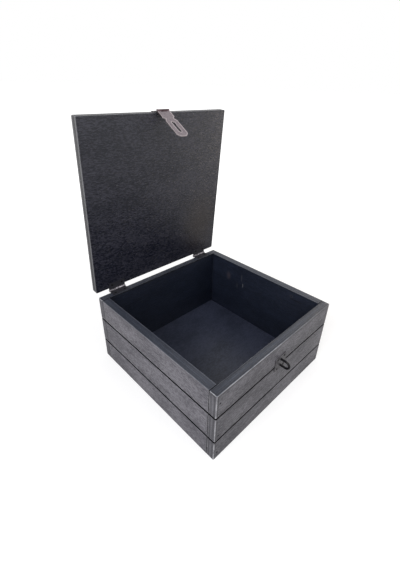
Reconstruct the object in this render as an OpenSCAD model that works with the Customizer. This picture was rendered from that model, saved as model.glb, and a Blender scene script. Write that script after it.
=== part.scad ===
// Square wooden display case, stained black, with a lid on two butt hinges and a hasp.
// The origin is the middle of the underside. +X runs to the right along the front wall,
// +Y to the back and +Z up. The lid is drawn standing open, with the strap of the hasp
// swung in over the box.

/* [Box] */
// Width of the box, along the front wall
box_w = 250; // [200:5:400]
// Depth of the box, from front to back
box_d = 250; // [200:5:400]
// Height of the walls, from the underside to the rim
wall_h = 113.5; // [105:0.5:200]
// Thickness of the wall boards
wall_t = 12; // [11:0.5:18]
// Radius of the upright corners of the box and the lid
corner_r = 1.5; // [0.5:0.1:3]

/* [Floor] */
// Thickness of the floor panel
floor_t = 4; // [3:0.5:6]
// How far the floor panel reaches under the walls
floor_seat = 6; // [4:0.5:8]
// Gap round the edge of the floor panel
floor_gap = 0.2; // [0.1:0.05:0.5]

/* [Grooves] */
// Width of the grooves sawn round the outside
groove_w = 2; // [1:0.1:3]
// Depth of the grooves
groove_deep = 2; // [1:0.1:3]
// Distance from the rim down to the middle of the upper groove
groove_upper = 37.4; // [30:0.1:45]
// Distance from the rim down to the middle of the lower groove
groove_lower = 79.5; // [70:0.5:85]

/* [Lid] */
// Thickness of the lid panel
lid_t = 11; // [10:0.5:18]
// Gap between the rim and the shut lid
lid_gap = 0.3; // [0.2:0.05:0.6]
// Angle at which the lid stands open
lid_open = 86; // [60:1:100]

/* [Lid hinges] */
// Length of each hinge
hinge_len = 28; // [24:1:40]
// Distance from the side of the box to the near end of a hinge
hinge_inset = 21.5; // [12:0.5:40]
// Distance of the hinge pin behind the back wall
hinge_back = 4.8; // [4:0.1:6]
// Reach of a hinge leaf over the rim
hinge_reach = 8.5; // [7:0.5:10]
// Thickness of the hinge leaves
hinge_leaf_t = 1; // [0.8:0.1:1.5]
// Outside diameter of the hinge knuckles
hinge_knuckle_d = 4.4; // [4:0.1:5]
// Diameter of the hinge pins
hinge_pin_d = 2.2; // [1.6:0.1:2.4]
// Number of knuckles on each hinge
hinge_knuckles = 5; // [3:2:7]
// Distance between the two screws of a leaf
hinge_screw_gap = 17; // [12:1:18]

/* [Hasp] */
// Distance of the hasp pin in front of the lid's edge
hasp_out = 2.6; // [2.4:0.1:3.4]
// Height of the hasp pin above the lid's underside, with the lid shut
hasp_up = 0.5; // [0:0.1:0.7]
// Angle of the strap, inwards from square to the lid
strap_swing = 28.5; // [0:0.5:35]
// Thickness of the leaf on the lid's edge
hasp_leaf_t = 1; // [0.8:0.1:1.2]
// Width of the leaf on the lid's edge
hasp_leaf_w = 26; // [25:1:34]
// Wood left above the leaf on the lid's edge
hasp_leaf_margin = 1; // [0.5:0.1:1.5]
// Length of the leaf's own knuckle, in the middle of the strap
hasp_knuckle_len = 8; // [6:0.5:10]
// Outside diameter of the hasp knuckles
hasp_knuckle_d = 3.4; // [3:0.1:3.8]
// Diameter of the hasp pin
hasp_pin_d = 1.6; // [1.2:0.1:2]
// Thickness of the heads on the hasp pin
hasp_pin_head_t = 0.5; // [0.3:0.1:0.8]
// Diameter of the heads on the hasp pin
hasp_pin_head_d = 2.4; // [2.2:0.1:2.8]
// Distance between the two screws of the leaf
hasp_screw_gap = 17.5; // [16:0.5:20]

/* [Strap] */
// Length of the strap, from its pin to its tip
strap_len = 52.2; // [50:0.1:56]
// Thickness of the strap
strap_t = 1.2; // [0.8:0.1:1.4]
// Width of the strap at its pin
strap_w = 20.6; // [18:0.1:24]
// Distance from the pin to the shoulders
strap_shoulder = 13.6; // [11:0.1:15]
// Width of the neck
strap_neck_w = 13.4; // [11:0.1:16]
// Distance from the pin to the neck
strap_neck = 17.4; // [16:0.1:19]
// Width of the slotted end
strap_end_w = 19.6; // [17:0.1:22]
// Distance from the pin to where the slotted end is at full width
strap_end = 21.5; // [20:0.1:24]
// Length of the slanted corners at the tip
strap_clip = 4.7; // [3:0.1:6]
// Width left between the slanted corners
strap_tip_w = 9.7; // [7:0.1:14]
// Distance from the pin to the top of the slot
slot_start = 22.3; // [21:0.1:25]
// Length of the slot
slot_len = 21; // [20:0.1:24]
// Gap between the staple and each side of the slot
slot_gap = 0.6; // [0.4:0.1:1]

/* [Staple] */
// Distance from the rim down to the middle of the staple
staple_drop = 34.5; // [34:0.1:36]
// Width of the staple plate
staple_w = 25; // [22:1:30]
// Height of the staple plate
staple_h = 24; // [23:0.5:30]
// Thickness of the staple plate
staple_t = 1; // [0.8:0.1:1.3]
// Size of the clipped corners of the plate
staple_clip = 2.5; // [1:0.1:4]
// Diameter of the loop's wire
loop_wire_d = 2.4; // [1.8:0.1:2.8]
// Distance between the middles of the loop's two legs
loop_leg_gap = 11.2; // [9:0.1:12]
// How far the loop stands out from the front wall
loop_out = 15.8; // [12:0.1:17]
// Sideways distance between the plate's screws
staple_screw_x = 14.6; // [12:0.1:17]
// Upright distance between the plate's screws
staple_screw_z = 16.2; // [15.6:0.1:18]

/* [Screws and nails] */
// Length of the wood screws
screw_len = 8.5; // [6:0.5:9]
// Diameter of the screws
screw_d = 1.8; // [1.4:0.1:2.2]
// Diameter of the screw heads
screw_head_d = 3.8; // [3.2:0.1:4.2]
// Length of the screws' points
screw_point = 2.5; // [1.5:0.5:3.5]
// Width of the slot in a screw head
screw_slot_w = 0.5; // [0.3:0.1:0.8]
// Depth of the slot in a screw head
screw_slot_deep = 0.4; // [0.2:0.1:0.6]
// Diameter of the nails in the corner joints
nail_d = 1.4; // [1:0.1:2]
// Length of the nails
nail_len = 26; // [20:1:40]
// Diameter of the nail heads
nail_head_d = 2.4; // [2.2:0.1:3.4]
// Thickness of the nail heads
nail_head_t = 0.8; // [0.5:0.1:1.2]
// Distance from the rim down to the top nails
nail_top = 15; // [10:1:22]
// Height of the middle nails above the lower groove
nail_middle = 8.5; // [6:0.5:20]
// Height of the bottom nails above the underside
nail_bottom = 10.5; // [8:0.5:16]
// Diameter of the brads that hold the floor
brad_d = 1.2; // [0.8:0.1:1.4]
// Length of the brads
brad_len = 15; // [10:1:20]
// Diameter of the brad heads
brad_head_d = 2; // [1.8:0.1:2.6]
// Number of brads along each wall
brad_count = 3; // [2:1:6]
// Distance from a corner of the box to the nearest brad
brad_inset = 35; // [32:1:60]

/* [Fits] */
// Clearance round the pins of the hinges and the hasp
pin_clear = 0.05; // [0.02:0.01:0.08]
// Clearance round screws, nails, brads and the loop's legs
hole_clear = 0.05; // [0.02:0.01:0.1]
// Clearance between neighbouring knuckles
knuckle_clear = 0.2; // [0.1:0.05:0.4]
// Clearance round a knuckle that turns past a leaf
turn_clear = 0.3; // [0.2:0.05:0.5]
// Clearance round a hinge leaf in its recess
recess_clear = 0.2; // [0.1:0.05:0.4]

/* [Hidden] */
$fn = 64;
// Cuts run past the faces that they open by this much
past = 1;
floor_rim = wall_t - floor_seat;
rabbet_w = box_w - 2 * floor_rim;
rabbet_d = box_d - 2 * floor_rim;
groove_heights = [wall_h - groove_upper, wall_h - groove_lower];
lid_under = wall_h + lid_gap;
hinge_y = box_d / 2 + hinge_back;
hinge_z = wall_h + lid_gap / 2;
hinge_x = box_w / 2 - hinge_inset - hinge_len / 2;
hinge_knuckle_r = hinge_knuckle_d / 2;
knuckle_pitch = hinge_len / hinge_knuckles;
leaf_screw_y = hinge_back + hinge_reach / 2;
hasp_y = -box_d / 2 - hasp_out;
hasp_z = lid_under + hasp_up;
hasp_knuckle_r = hasp_knuckle_d / 2;
hasp_leaf_low = hasp_knuckle_r + turn_clear;
hasp_leaf_top = lid_t - hasp_up - hasp_leaf_margin;
hasp_screw_z = (hasp_leaf_low + hasp_leaf_top) / 2;
strap_knuckle_in = hasp_knuckle_len / 2 + knuckle_clear;
slot_w = loop_wire_d + 2 * slot_gap;
staple_z = wall_h - staple_drop;
loop_bend_r = loop_leg_gap / 2;
loop_leg_len = loop_out - loop_wire_d / 2 - loop_bend_r;
nail_heights = [nail_bottom, wall_h - groove_lower + nail_middle, wall_h - nail_top];
brad_step_x = (box_w - 2 * brad_inset) / (brad_count - 1);
brad_step_y = (box_d - 2 * brad_inset) / (brad_count - 1);
brad_edge = floor_rim + floor_seat / 2;

// Shared shapes

// Rectangle with round corners, centred on the origin
module round_rect(w, d, r) {
    square([w - 2 * r, d], center = true);
    square([w, d - 2 * r], center = true);
    for (sx = [-1, 1]) {
        for (sy = [-1, 1]) {
            translate([sx * (w / 2 - r), sy * (d / 2 - r)]) circle(r = r);
        }
    }
}

// Solid of the box's outline, from the underside to the rim
module box_prism() {
    linear_extrude(height = wall_h) round_rect(box_w, box_d, corner_r);
}

// Grooves that run all round the outside of the box
module groove_cut() {
    for (z = groove_heights) {
        translate([0, 0, z]) difference() {
            cube([box_w + 2 * past, box_d + 2 * past, groove_w], center = true);
            cube([box_w - 2 * groove_deep, box_d - 2 * groove_deep, groove_w + past], center = true);
        }
    }
}

// Rabbet under the walls that takes the floor panel
module rabbet_cut() {
    translate([-rabbet_w / 2, -rabbet_d / 2, -past]) cube([rabbet_w, rabbet_d, floor_t + past]);
}

// Countersunk wood screw along -Z, with the top of its head at the origin and its
// head as deep as the plate that it holds
module wood_screw(plate_t) {
    difference() {
        union() {
            translate([0, 0, -plate_t]) cylinder(h = plate_t, d1 = screw_d, d2 = screw_head_d);
            translate([0, 0, screw_point - screw_len]) {
                cylinder(h = screw_len - screw_point - plate_t, d = screw_d);
            }
            translate([0, 0, -screw_len]) cylinder(h = screw_point, d1 = screw_slot_w, d2 = screw_d);
        }
        translate([-screw_head_d / 2 - past, -screw_slot_w / 2, -screw_slot_deep]) {
            cube([screw_head_d + 2 * past, screw_slot_w, screw_slot_deep + past]);
        }
    }
}

// Hole for a wood screw, with its countersink in the plate
module screw_hole(plate_t) {
    clear = 2 * hole_clear;
    translate([0, 0, -plate_t]) cylinder(h = plate_t, d1 = screw_d + clear, d2 = screw_head_d + clear);
    translate([0, 0, -screw_len - hole_clear]) cylinder(h = screw_len, d = screw_d + clear);
}

// Headed nail along -Z, with the top of its head at the origin
module headed_nail(d, head_d, head_t, len) {
    translate([0, 0, -head_t]) cylinder(h = head_t, d = head_d);
    translate([0, 0, -len]) cylinder(h = len - head_t, d = d);
}

// Hole for a nail, with a seat that sets its head flush
module nail_hole(d, head_d, head_t, len) {
    clear = 2 * hole_clear;
    translate([0, 0, -head_t]) cylinder(h = head_t + past, d = head_d + clear);
    translate([0, 0, -len - hole_clear]) cylinder(h = len, d = d + clear);
}

// Places of the nails in the front corners, with -Z of each turned to run inwards
module at_front_nails() {
    for (sx = [-1, 1]) {
        for (z = nail_heights) {
            translate([sx * (box_w / 2 - wall_t / 2), -box_d / 2, z]) rotate([90, 0, 0]) children();
        }
    }
}

// Places of the nails in the back corners
module at_back_nails() {
    mirror([0, 1, 0]) at_front_nails() children();
}

// Places of the brads under the front and the back wall
module at_long_brads() {
    for (sy = [-1, 1]) {
        for (i = [0 : brad_count - 1]) {
            translate([brad_inset - box_w / 2 + i * brad_step_x, sy * (box_d / 2 - brad_edge), 0]) {
                rotate([180, 0, 0]) children();
            }
        }
    }
}

// Places of the brads under the two side walls
module at_side_brads() {
    for (sx = [-1, 1]) {
        for (i = [0 : brad_count - 1]) {
            translate([sx * (box_w / 2 - brad_edge), brad_inset - box_d / 2 + i * brad_step_y, 0]) {
                rotate([180, 0, 0]) children();
            }
        }
    }
}

module corner_nail() {
    headed_nail(nail_d, nail_head_d, nail_head_t, nail_len);
}

module corner_nail_hole() {
    nail_hole(nail_d, nail_head_d, nail_head_t, nail_len);
}

module floor_brad() {
    headed_nail(brad_d, brad_head_d, nail_head_t, brad_len);
}

module floor_brad_hole() {
    nail_hole(brad_d, brad_head_d, nail_head_t, brad_len);
}

// Turns what is drawn on the shut lid to the angle at which the lid stands
module lid_pose() {
    translate([0, hinge_y, hinge_z]) rotate([-lid_open, 0, 0]) translate([0, -hinge_y, -hinge_z]) children();
}

// Puts what is drawn round the hasp pin on the shut lid, and turns it with the lid
module hasp_pose() {
    lid_pose() translate([0, hasp_y, hasp_z]) children();
}

// Places of the hinges, at the middle of each pin
module at_hinge(side) {
    translate([side * hinge_x, hinge_y, hinge_z]) children();
}

// Places of the screws in a box leaf, drawn round the hinge pin
module at_leaf_screws() {
    for (sx = [-1, 1]) {
        translate([sx * hinge_screw_gap / 2, -leaf_screw_y, -lid_gap / 2]) children();
    }
}

// Places of the screws on the lid's front edge, drawn round the hasp pin
module at_hasp_screws() {
    for (sx = [-1, 1]) {
        translate([sx * hasp_screw_gap / 2, hasp_out - hasp_leaf_t, hasp_screw_z]) rotate([90, 0, 0]) children();
    }
}

// Places of the screws in the staple plate
module at_staple_screws() {
    for (sx = [-1, 1]) {
        for (sz = [-1, 1]) {
            translate([
                sx * staple_screw_x / 2,
                -box_d / 2 - staple_t,
                staple_z + sz * staple_screw_z / 2
            ]) rotate([90, 0, 0]) children();
        }
    }
}

// Recess for a hinge leaf, drawn round the hinge pin, open to the seam and the back
module leaf_recess() {
    translate([-hinge_len / 2 - recess_clear, -hinge_back - hinge_reach - recess_clear, -lid_gap / 2 - hinge_leaf_t]) {
        cube([hinge_len + 2 * recess_clear, hinge_reach + recess_clear + past, hinge_leaf_t + past]);
    }
}

// Leaf of a butt hinge as it lies on the box, drawn round its pin, with every second
// knuckle from the given first one
module hinge_leaf(first) {
    difference() {
        union() {
            translate([-hinge_len / 2, -hinge_back - hinge_reach, -lid_gap / 2 - hinge_leaf_t]) {
                cube([hinge_len, hinge_back + hinge_reach - hinge_knuckle_r - turn_clear, hinge_leaf_t]);
            }
            for (i = [first : 2 : hinge_knuckles - 1]) {
                translate([i * knuckle_pitch - hinge_len / 2 + knuckle_clear / 2, 0, 0]) {
                    rotate([0, 90, 0]) cylinder(h = knuckle_pitch - knuckle_clear, d = hinge_knuckle_d);
                    translate([0, -hinge_back, -lid_gap / 2 - hinge_leaf_t]) {
                        cube([knuckle_pitch - knuckle_clear, hinge_back, hinge_leaf_t]);
                    }
                }
            }
        }
        translate([-hinge_len / 2 - past, 0, 0]) rotate([0, 90, 0]) {
            cylinder(h = hinge_len + 2 * past, d = hinge_pin_d + 2 * pin_clear);
        }
        at_leaf_screws() screw_hole(hinge_leaf_t);
    }
}

// Boards of the box

module front_wall() {
    color("#3c3e44") difference() {
        intersection() {
            box_prism();
            translate([-box_w / 2, -box_d / 2, 0]) cube([box_w, wall_t, wall_h]);
        }
        groove_cut();
        rabbet_cut();
        at_front_nails() corner_nail_hole();
        at_long_brads() floor_brad_hole();
        at_staple_screws() screw_hole(staple_t);
    }
}

module back_wall() {
    color("#35373d") difference() {
        intersection() {
            box_prism();
            translate([-box_w / 2, box_d / 2 - wall_t, 0]) cube([box_w, wall_t, wall_h]);
        }
        groove_cut();
        rabbet_cut();
        at_back_nails() corner_nail_hole();
        at_long_brads() floor_brad_hole();
        for (side = [-1, 1]) {
            at_hinge(side) leaf_recess();
            at_hinge(side) at_leaf_screws() screw_hole(hinge_leaf_t);
        }
    }
}

// Side board between the front and the back wall; side is -1 on the left
module side_wall(side) {
    low_x = side < 0 ? -box_w / 2 : box_w / 2 - wall_t;
    difference() {
        translate([low_x, wall_t - box_d / 2, 0]) cube([wall_t, box_d - 2 * wall_t, wall_h]);
        groove_cut();
        rabbet_cut();
        at_front_nails() corner_nail_hole();
        at_back_nails() corner_nail_hole();
        at_side_brads() floor_brad_hole();
    }
}

module left_wall() {
    color("#393b41") side_wall(-1);
}

module right_wall() {
    color("#393b41") side_wall(1);
}

module floor_panel() {
    color("#2c2e33") difference() {
        translate([floor_gap - rabbet_w / 2, floor_gap - rabbet_d / 2, 0]) {
            cube([rabbet_w - 2 * floor_gap, rabbet_d - 2 * floor_gap, floor_t]);
        }
        at_long_brads() floor_brad_hole();
        at_side_brads() floor_brad_hole();
    }
}

module lid_panel() {
    color("#303238") lid_pose() difference() {
        translate([0, 0, lid_under]) linear_extrude(height = lid_t) round_rect(box_w, box_d, corner_r);
        for (side = [-1, 1]) {
            at_hinge(side) mirror([0, 0, 1]) leaf_recess();
            at_hinge(side) mirror([0, 0, 1]) at_leaf_screws() screw_hole(hinge_leaf_t);
        }
        translate([0, hasp_y, hasp_z]) at_hasp_screws() screw_hole(hasp_leaf_t);
    }
}

// Lid hinges

module hinge_box_leaf(side) {
    color("#3b342d") at_hinge(side) hinge_leaf(0);
}

module hinge_lid_leaf(side) {
    color("#3b342d") lid_pose() at_hinge(side) mirror([0, 0, 1]) hinge_leaf(1);
}

module hinge_pin(side) {
    color("#8d8f93") at_hinge(side) translate([-hinge_len / 2, 0, 0]) rotate([0, 90, 0]) {
        cylinder(h = hinge_len, d = hinge_pin_d);
    }
}

module hinge_box_screws() {
    color("#2a2724") for (side = [-1, 1]) {
        at_hinge(side) at_leaf_screws() wood_screw(hinge_leaf_t);
    }
}

module hinge_lid_screws() {
    color("#2a2724") lid_pose() for (side = [-1, 1]) {
        at_hinge(side) mirror([0, 0, 1]) at_leaf_screws() wood_screw(hinge_leaf_t);
    }
}

// Hasp on the lid

module hasp_leaf() {
    color("#8b8d90") hasp_pose() difference() {
        union() {
            translate([-hasp_leaf_w / 2, hasp_out - hasp_leaf_t, hasp_leaf_low]) {
                cube([hasp_leaf_w, hasp_leaf_t, hasp_leaf_top - hasp_leaf_low]);
            }
            translate([-hasp_knuckle_len / 2, 0, hasp_knuckle_r - hasp_leaf_t]) {
                cube([hasp_knuckle_len, hasp_out, hasp_leaf_t]);
            }
            translate([-hasp_knuckle_len / 2, hasp_out - hasp_leaf_t, hasp_knuckle_r - hasp_leaf_t]) {
                cube([hasp_knuckle_len, hasp_leaf_t, turn_clear + 2 * hasp_leaf_t]);
            }
            translate([-hasp_knuckle_len / 2, 0, 0]) rotate([0, 90, 0]) {
                cylinder(h = hasp_knuckle_len, d = hasp_knuckle_d);
            }
        }
        translate([-hasp_knuckle_len, 0, 0]) rotate([0, 90, 0]) {
            cylinder(h = 2 * hasp_knuckle_len, d = hasp_pin_d + 2 * pin_clear);
        }
        at_hasp_screws() screw_hole(hasp_leaf_t);
    }
}

module hasp_screws() {
    color("#77797c") hasp_pose() at_hasp_screws() wood_screw(hasp_leaf_t);
}

module hasp_pin() {
    head_x = strap_w / 2 + knuckle_clear;
    color("#9b9da0") hasp_pose() {
        translate([-head_x, 0, 0]) rotate([0, 90, 0]) cylinder(h = 2 * head_x, d = hasp_pin_d);
        for (sx = [-1, 1]) {
            translate([sx * (head_x + hasp_pin_head_t / 2), 0, 0]) rotate([0, 90, 0]) {
                cylinder(h = hasp_pin_head_t, d = hasp_pin_head_d, center = true);
            }
        }
    }
}

// Outline of the strap, hanging down from its pin at the origin
module strap_outline() {
    polygon([
        [strap_w / 2, 0],
        [strap_w / 2, -strap_shoulder],
        [strap_neck_w / 2, -strap_neck],
        [strap_end_w / 2, -strap_end],
        [strap_end_w / 2, strap_clip - strap_len],
        [strap_tip_w / 2, -strap_len],
        [-strap_tip_w / 2, -strap_len],
        [-strap_end_w / 2, strap_clip - strap_len],
        [-strap_end_w / 2, -strap_end],
        [-strap_neck_w / 2, -strap_neck],
        [-strap_w / 2, -strap_shoulder],
        [-strap_w / 2, 0]
    ]);
}

// Slot with round ends that drops over the staple
module slot_outline() {
    slot_r = slot_w / 2;
    translate([-slot_r, slot_r - slot_start - slot_len]) square([slot_w, slot_len - slot_w]);
    translate([0, -slot_start - slot_r]) circle(r = slot_r);
    translate([0, slot_r - slot_start - slot_len]) circle(r = slot_r);
}

module hasp_strap() {
    knuckle_len = strap_w / 2 - strap_knuckle_in;
    color("#a0a2a5") hasp_pose() rotate([strap_swing, 0, 0]) difference() {
        union() {
            translate([0, strap_t / 2, 0]) rotate([90, 0, 0]) linear_extrude(height = strap_t) {
                difference() {
                    strap_outline();
                    slot_outline();
                    translate([-strap_knuckle_in, -hasp_leaf_low]) {
                        square([2 * strap_knuckle_in, hasp_leaf_low + past]);
                    }
                }
            }
            for (x = [-strap_w / 2, strap_knuckle_in]) {
                translate([x, 0, 0]) rotate([0, 90, 0]) cylinder(h = knuckle_len, d = hasp_knuckle_d);
            }
        }
        translate([-strap_w, 0, 0]) rotate([0, 90, 0]) {
            cylinder(h = 2 * strap_w, d = hasp_pin_d + 2 * pin_clear);
        }
    }
}

// Staple on the front wall

module staple_plate() {
    half_w = staple_w / 2;
    half_h = staple_h / 2;
    color("#6b6d72") difference() {
        translate([0, -box_d / 2, staple_z]) rotate([90, 0, 0]) linear_extrude(height = staple_t) {
            polygon([
                [half_w - staple_clip, half_h],
                [staple_clip - half_w, half_h],
                [-half_w, half_h - staple_clip],
                [-half_w, staple_clip - half_h],
                [staple_clip - half_w, -half_h],
                [half_w - staple_clip, -half_h],
                [half_w, staple_clip - half_h],
                [half_w, half_h - staple_clip]
            ]);
        }
        at_staple_screws() screw_hole(staple_t);
        for (sz = [-1, 1]) {
            translate([0, past - box_d / 2, staple_z + sz * loop_bend_r]) rotate([90, 0, 0]) {
                cylinder(h = staple_t + 2 * past, d = loop_wire_d + 2 * hole_clear);
            }
        }
    }
}

module staple_loop() {
    color("#1c1c20") translate([0, -box_d / 2, staple_z]) {
        for (sz = [-1, 1]) {
            translate([0, 0, sz * loop_bend_r]) rotate([90, 0, 0]) cylinder(h = loop_leg_len, d = loop_wire_d);
        }
        translate([0, -loop_leg_len, 0]) rotate([0, 90, 0]) rotate([0, 0, 180]) {
            rotate_extrude(angle = 180) translate([loop_bend_r, 0]) circle(d = loop_wire_d);
        }
    }
}

module staple_screws() {
    color("#3a3a3d") at_staple_screws() wood_screw(staple_t);
}

// Nails and brads of the box

module front_nails() {
    color("#1b1b1d") at_front_nails() corner_nail();
}

module back_nails() {
    color("#1b1b1d") at_back_nails() corner_nail();
}

module floor_brads() {
    color("#55565a") {
        at_long_brads() floor_brad();
        at_side_brads() floor_brad();
    }
}

front_wall();
back_wall();
left_wall();
right_wall();
floor_panel();
lid_panel();
hinge_box_leaf(-1);  // hinge_left_box_leaf
hinge_lid_leaf(-1);  // hinge_left_lid_leaf
hinge_pin(-1);  // hinge_left_pin
hinge_box_leaf(1);  // hinge_right_box_leaf
hinge_lid_leaf(1);  // hinge_right_lid_leaf
hinge_pin(1);  // hinge_right_pin
hinge_box_screws();
hinge_lid_screws();
hasp_leaf();
hasp_screws();
hasp_pin();
hasp_strap();
staple_plate();
staple_loop();
staple_screws();
front_nails();
back_nails();
floor_brads();
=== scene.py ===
"""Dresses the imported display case, in metres and in the frame of its construction model.

Boards, hinges, hasp and staple are drawn in millimetres with the lid shut, then scaled and
turned to where they stand with the lid open.
"""

import logging
import math
from collections.abc import Callable, Iterable, Sequence
from dataclasses import dataclass, field, replace
from enum import Enum

import bmesh
import bpy
from mathutils import Matrix, Vector


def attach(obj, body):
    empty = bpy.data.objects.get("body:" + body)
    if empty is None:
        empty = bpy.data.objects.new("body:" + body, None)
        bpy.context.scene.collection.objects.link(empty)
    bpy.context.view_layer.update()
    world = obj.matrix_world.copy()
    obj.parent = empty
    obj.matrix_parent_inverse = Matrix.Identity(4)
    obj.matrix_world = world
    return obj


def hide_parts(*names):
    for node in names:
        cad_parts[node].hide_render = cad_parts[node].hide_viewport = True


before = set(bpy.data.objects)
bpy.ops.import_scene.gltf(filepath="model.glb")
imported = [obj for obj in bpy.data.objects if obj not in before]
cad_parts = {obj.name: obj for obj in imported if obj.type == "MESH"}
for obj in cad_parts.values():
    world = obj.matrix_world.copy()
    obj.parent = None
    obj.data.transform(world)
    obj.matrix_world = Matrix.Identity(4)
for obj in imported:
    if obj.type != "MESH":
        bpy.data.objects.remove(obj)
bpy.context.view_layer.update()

LOG = logging.getLogger("display_case")
MM_PER_METRE = 1000.0
ORIGIN = (0.0, 0.0, 0.0)
WHITE = (1.0, 1.0, 1.0)
STILL = Matrix.Identity(4)
INWARD = Matrix.Rotation(math.pi / 2, 4, "X")
CLOUD_SHARE = 0.25
SEAM_REACH = 1.8
ROLLED_FINE = 0.12
METAL_RELIEF = 0.02
PALE_DUST = (0.4, 0.39, 0.38)
SINK_WIDE = 2.0
SINK_NARROW = 0.95
FOLD_ANGLE = 50.0
ALONG = 0.9
FACING = 0.6
CORNER_STEPS = 4
HAIR = 0.01

Point = tuple[float, float, float]
Colour = tuple[float, float, float]
Place = Callable[[Vector, Vector], bool]
Piece = bpy.types.Object
Material = bpy.types.Material
Node = bpy.types.Node
Socket = bpy.types.NodeSocket
Tree = bpy.types.NodeTree


class Element(Enum):
    """What a selection in edit mode is made of."""

    FACE = "FACE"
    EDGE = "EDGE"


class Side(Enum):
    """Left or right of the case's middle, as seen from the front."""

    LEFT = -1
    RIGHT = 1


class Zone(Enum):
    """Part of a board that has a finish of its own, in the order of its material slots."""

    OUTER = 0
    INNER = 1
    EDGE = 2
    GROOVE = 3
    END = 4


class Bench:
    """Modelling steps, each done as by hand on pieces drawn in millimetres."""

    @staticmethod
    def clear() -> None:
        """Leaves edit mode and deselects every object."""
        if bpy.context.mode != "OBJECT":
            bpy.ops.object.mode_set(mode="OBJECT")
        bpy.ops.object.select_all(action="DESELECT")

    @staticmethod
    def hold(piece: Piece) -> None:
        """Makes one piece the only selected and the active one."""
        Bench.clear()
        piece.select_set(True)
        bpy.context.view_layer.objects.active = piece

    @staticmethod
    def named(name: str) -> Piece:
        """Names the active object and settles its place in its mesh.

        Args:
            name: The piece's name.

        Returns:
            The active object.
        """
        piece = bpy.context.object
        piece.name = piece.data.name = name
        bpy.ops.object.transform_apply()
        return piece

    @staticmethod
    def block(name: str, low: Sequence[float], high: Sequence[float]) -> Piece:
        """Adds a block between two corners.

        Args:
            name: The piece's name.
            low: Lowest corner.
            high: Highest corner.

        Returns:
            The block.
        """
        Bench.clear()
        centre = [(a + b) / 2 for a, b in zip(low, high)]
        size = [b - a for a, b in zip(low, high)]
        bpy.ops.mesh.primitive_cube_add(size=1, location=centre, scale=size)
        return Bench.named(name)

    @staticmethod
    def rod(name: str, start: Sequence[float], end: Sequence[float], radius: float,
            end_radius: float | None = None, sides: int = 32) -> Piece:
        """Adds a round bar or a cone between two points.

        Args:
            name: The piece's name.
            start: Middle of the first end.
            end: Middle of the other end.
            radius: Radius at the first end.
            end_radius: Radius at the other end, where it differs.
            sides: Number of sides.

        Returns:
            The bar.
        """
        Bench.clear()
        run = Vector(end) - Vector(start)
        bpy.ops.mesh.primitive_cone_add(
            vertices=sides,
            radius1=radius,
            radius2=radius if end_radius is None else end_radius,
            depth=run.length,
            location=(Vector(start) + Vector(end)) / 2,
            rotation=run.to_track_quat("Z", "Y").to_euler(),
        )
        return Bench.named(name)

    @staticmethod
    def sheet(name: str, outline: Sequence[Point], thickness: Point) -> Piece:
        """Draws a closed outline point by point, fills it and extrudes it to a sheet.

        Args:
            name: The piece's name.
            outline: Corners of the outline, in order.
            thickness: Vector from the drawn face to the other one.

        Returns:
            The sheet.
        """
        piece = Bench.line(name, outline)
        bpy.ops.mesh.select_all(action="SELECT")
        bpy.ops.mesh.edge_face_add()
        bpy.ops.mesh.extrude_region_move(TRANSFORM_OT_translate={"value": thickness})
        bpy.ops.mesh.select_all(action="SELECT")
        bpy.ops.mesh.normals_make_consistent(inside=False)
        Bench.clear()
        return piece

    @staticmethod
    def line(name: str, points: Sequence[Point]) -> Piece:
        """Draws a chain of edges by extruding one vertex, and stays in edit mode.

        Args:
            name: The piece's name.
            points: The chain's points.

        Returns:
            The chain, with its last vertex selected.
        """
        Bench.clear()
        bpy.ops.mesh.primitive_plane_add(size=1, location=points[0])
        piece = Bench.named(name)
        bpy.ops.object.mode_set(mode="EDIT")
        bpy.ops.mesh.select_mode(type="VERT")
        bpy.ops.mesh.select_all(action="SELECT")
        bpy.ops.mesh.merge(type="CENTER")
        for start, end in zip(points, points[1:]):
            step = Vector(end) - Vector(start)
            bpy.ops.mesh.extrude_region_move(TRANSFORM_OT_translate={"value": step})
        return piece

    @staticmethod
    def swing(degrees: float, centre: Point, steps: int) -> None:
        """Spins what is selected right-handed about a line along X; the operator counts the other way."""
        bpy.ops.mesh.spin(steps=steps, angle=-math.radians(degrees), center=centre, axis=(1, 0, 0))

    @staticmethod
    def weld(piece: Piece) -> None:
        """Closes the seams of what was spun, and turns its normals outwards."""
        bpy.ops.mesh.select_all(action="SELECT")
        bpy.ops.mesh.remove_doubles(threshold=0.001)
        bpy.ops.mesh.normals_make_consistent(inside=False)
        Bench.clear()

    @staticmethod
    def turned(name: str, profile: Sequence[Point], sides: int) -> Piece:
        """Turns a profile round the Z axis, as on a lathe.

        Args:
            name: The piece's name.
            profile: Points from axis to axis, in the XZ plane.
            sides: Number of sides.

        Returns:
            The turned solid.
        """
        piece = Bench.line(name, profile)
        bpy.ops.mesh.select_all(action="SELECT")
        bpy.ops.mesh.spin(steps=sides, angle=2 * math.pi, center=(0, 0, 0), axis=(0, 0, 1))
        bpy.ops.mesh.select_all(action="SELECT")
        bpy.ops.mesh.dissolve_degenerate(threshold=0.001)
        Bench.weld(piece)
        return piece

    @staticmethod
    def pick(piece: Piece, element: Element, place: Place) -> None:
        """Enters edit mode and selects faces or edges by place and direction.

        Args:
            piece: The piece to work on.
            element: What to select.
            place: Test of the middle, and of a face's normal or an edge's direction.
        """
        Bench.hold(piece)
        bpy.ops.object.mode_set(mode="EDIT")
        bpy.ops.mesh.select_mode(type=element.value)
        bpy.ops.mesh.select_all(action="DESELECT")
        work = bmesh.from_edit_mesh(piece.data)
        if element is Element.FACE:
            for face in work.faces:
                face.select_set(place(face.calc_center_median(), face.normal))
        else:
            for edge in work.edges:
                ends = [v.co for v in edge.verts]
                run = (ends[1] - ends[0]).normalized()
                edge.select_set(place((ends[0] + ends[1]) / 2, run))
        bmesh.update_edit_mesh(piece.data)

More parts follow.
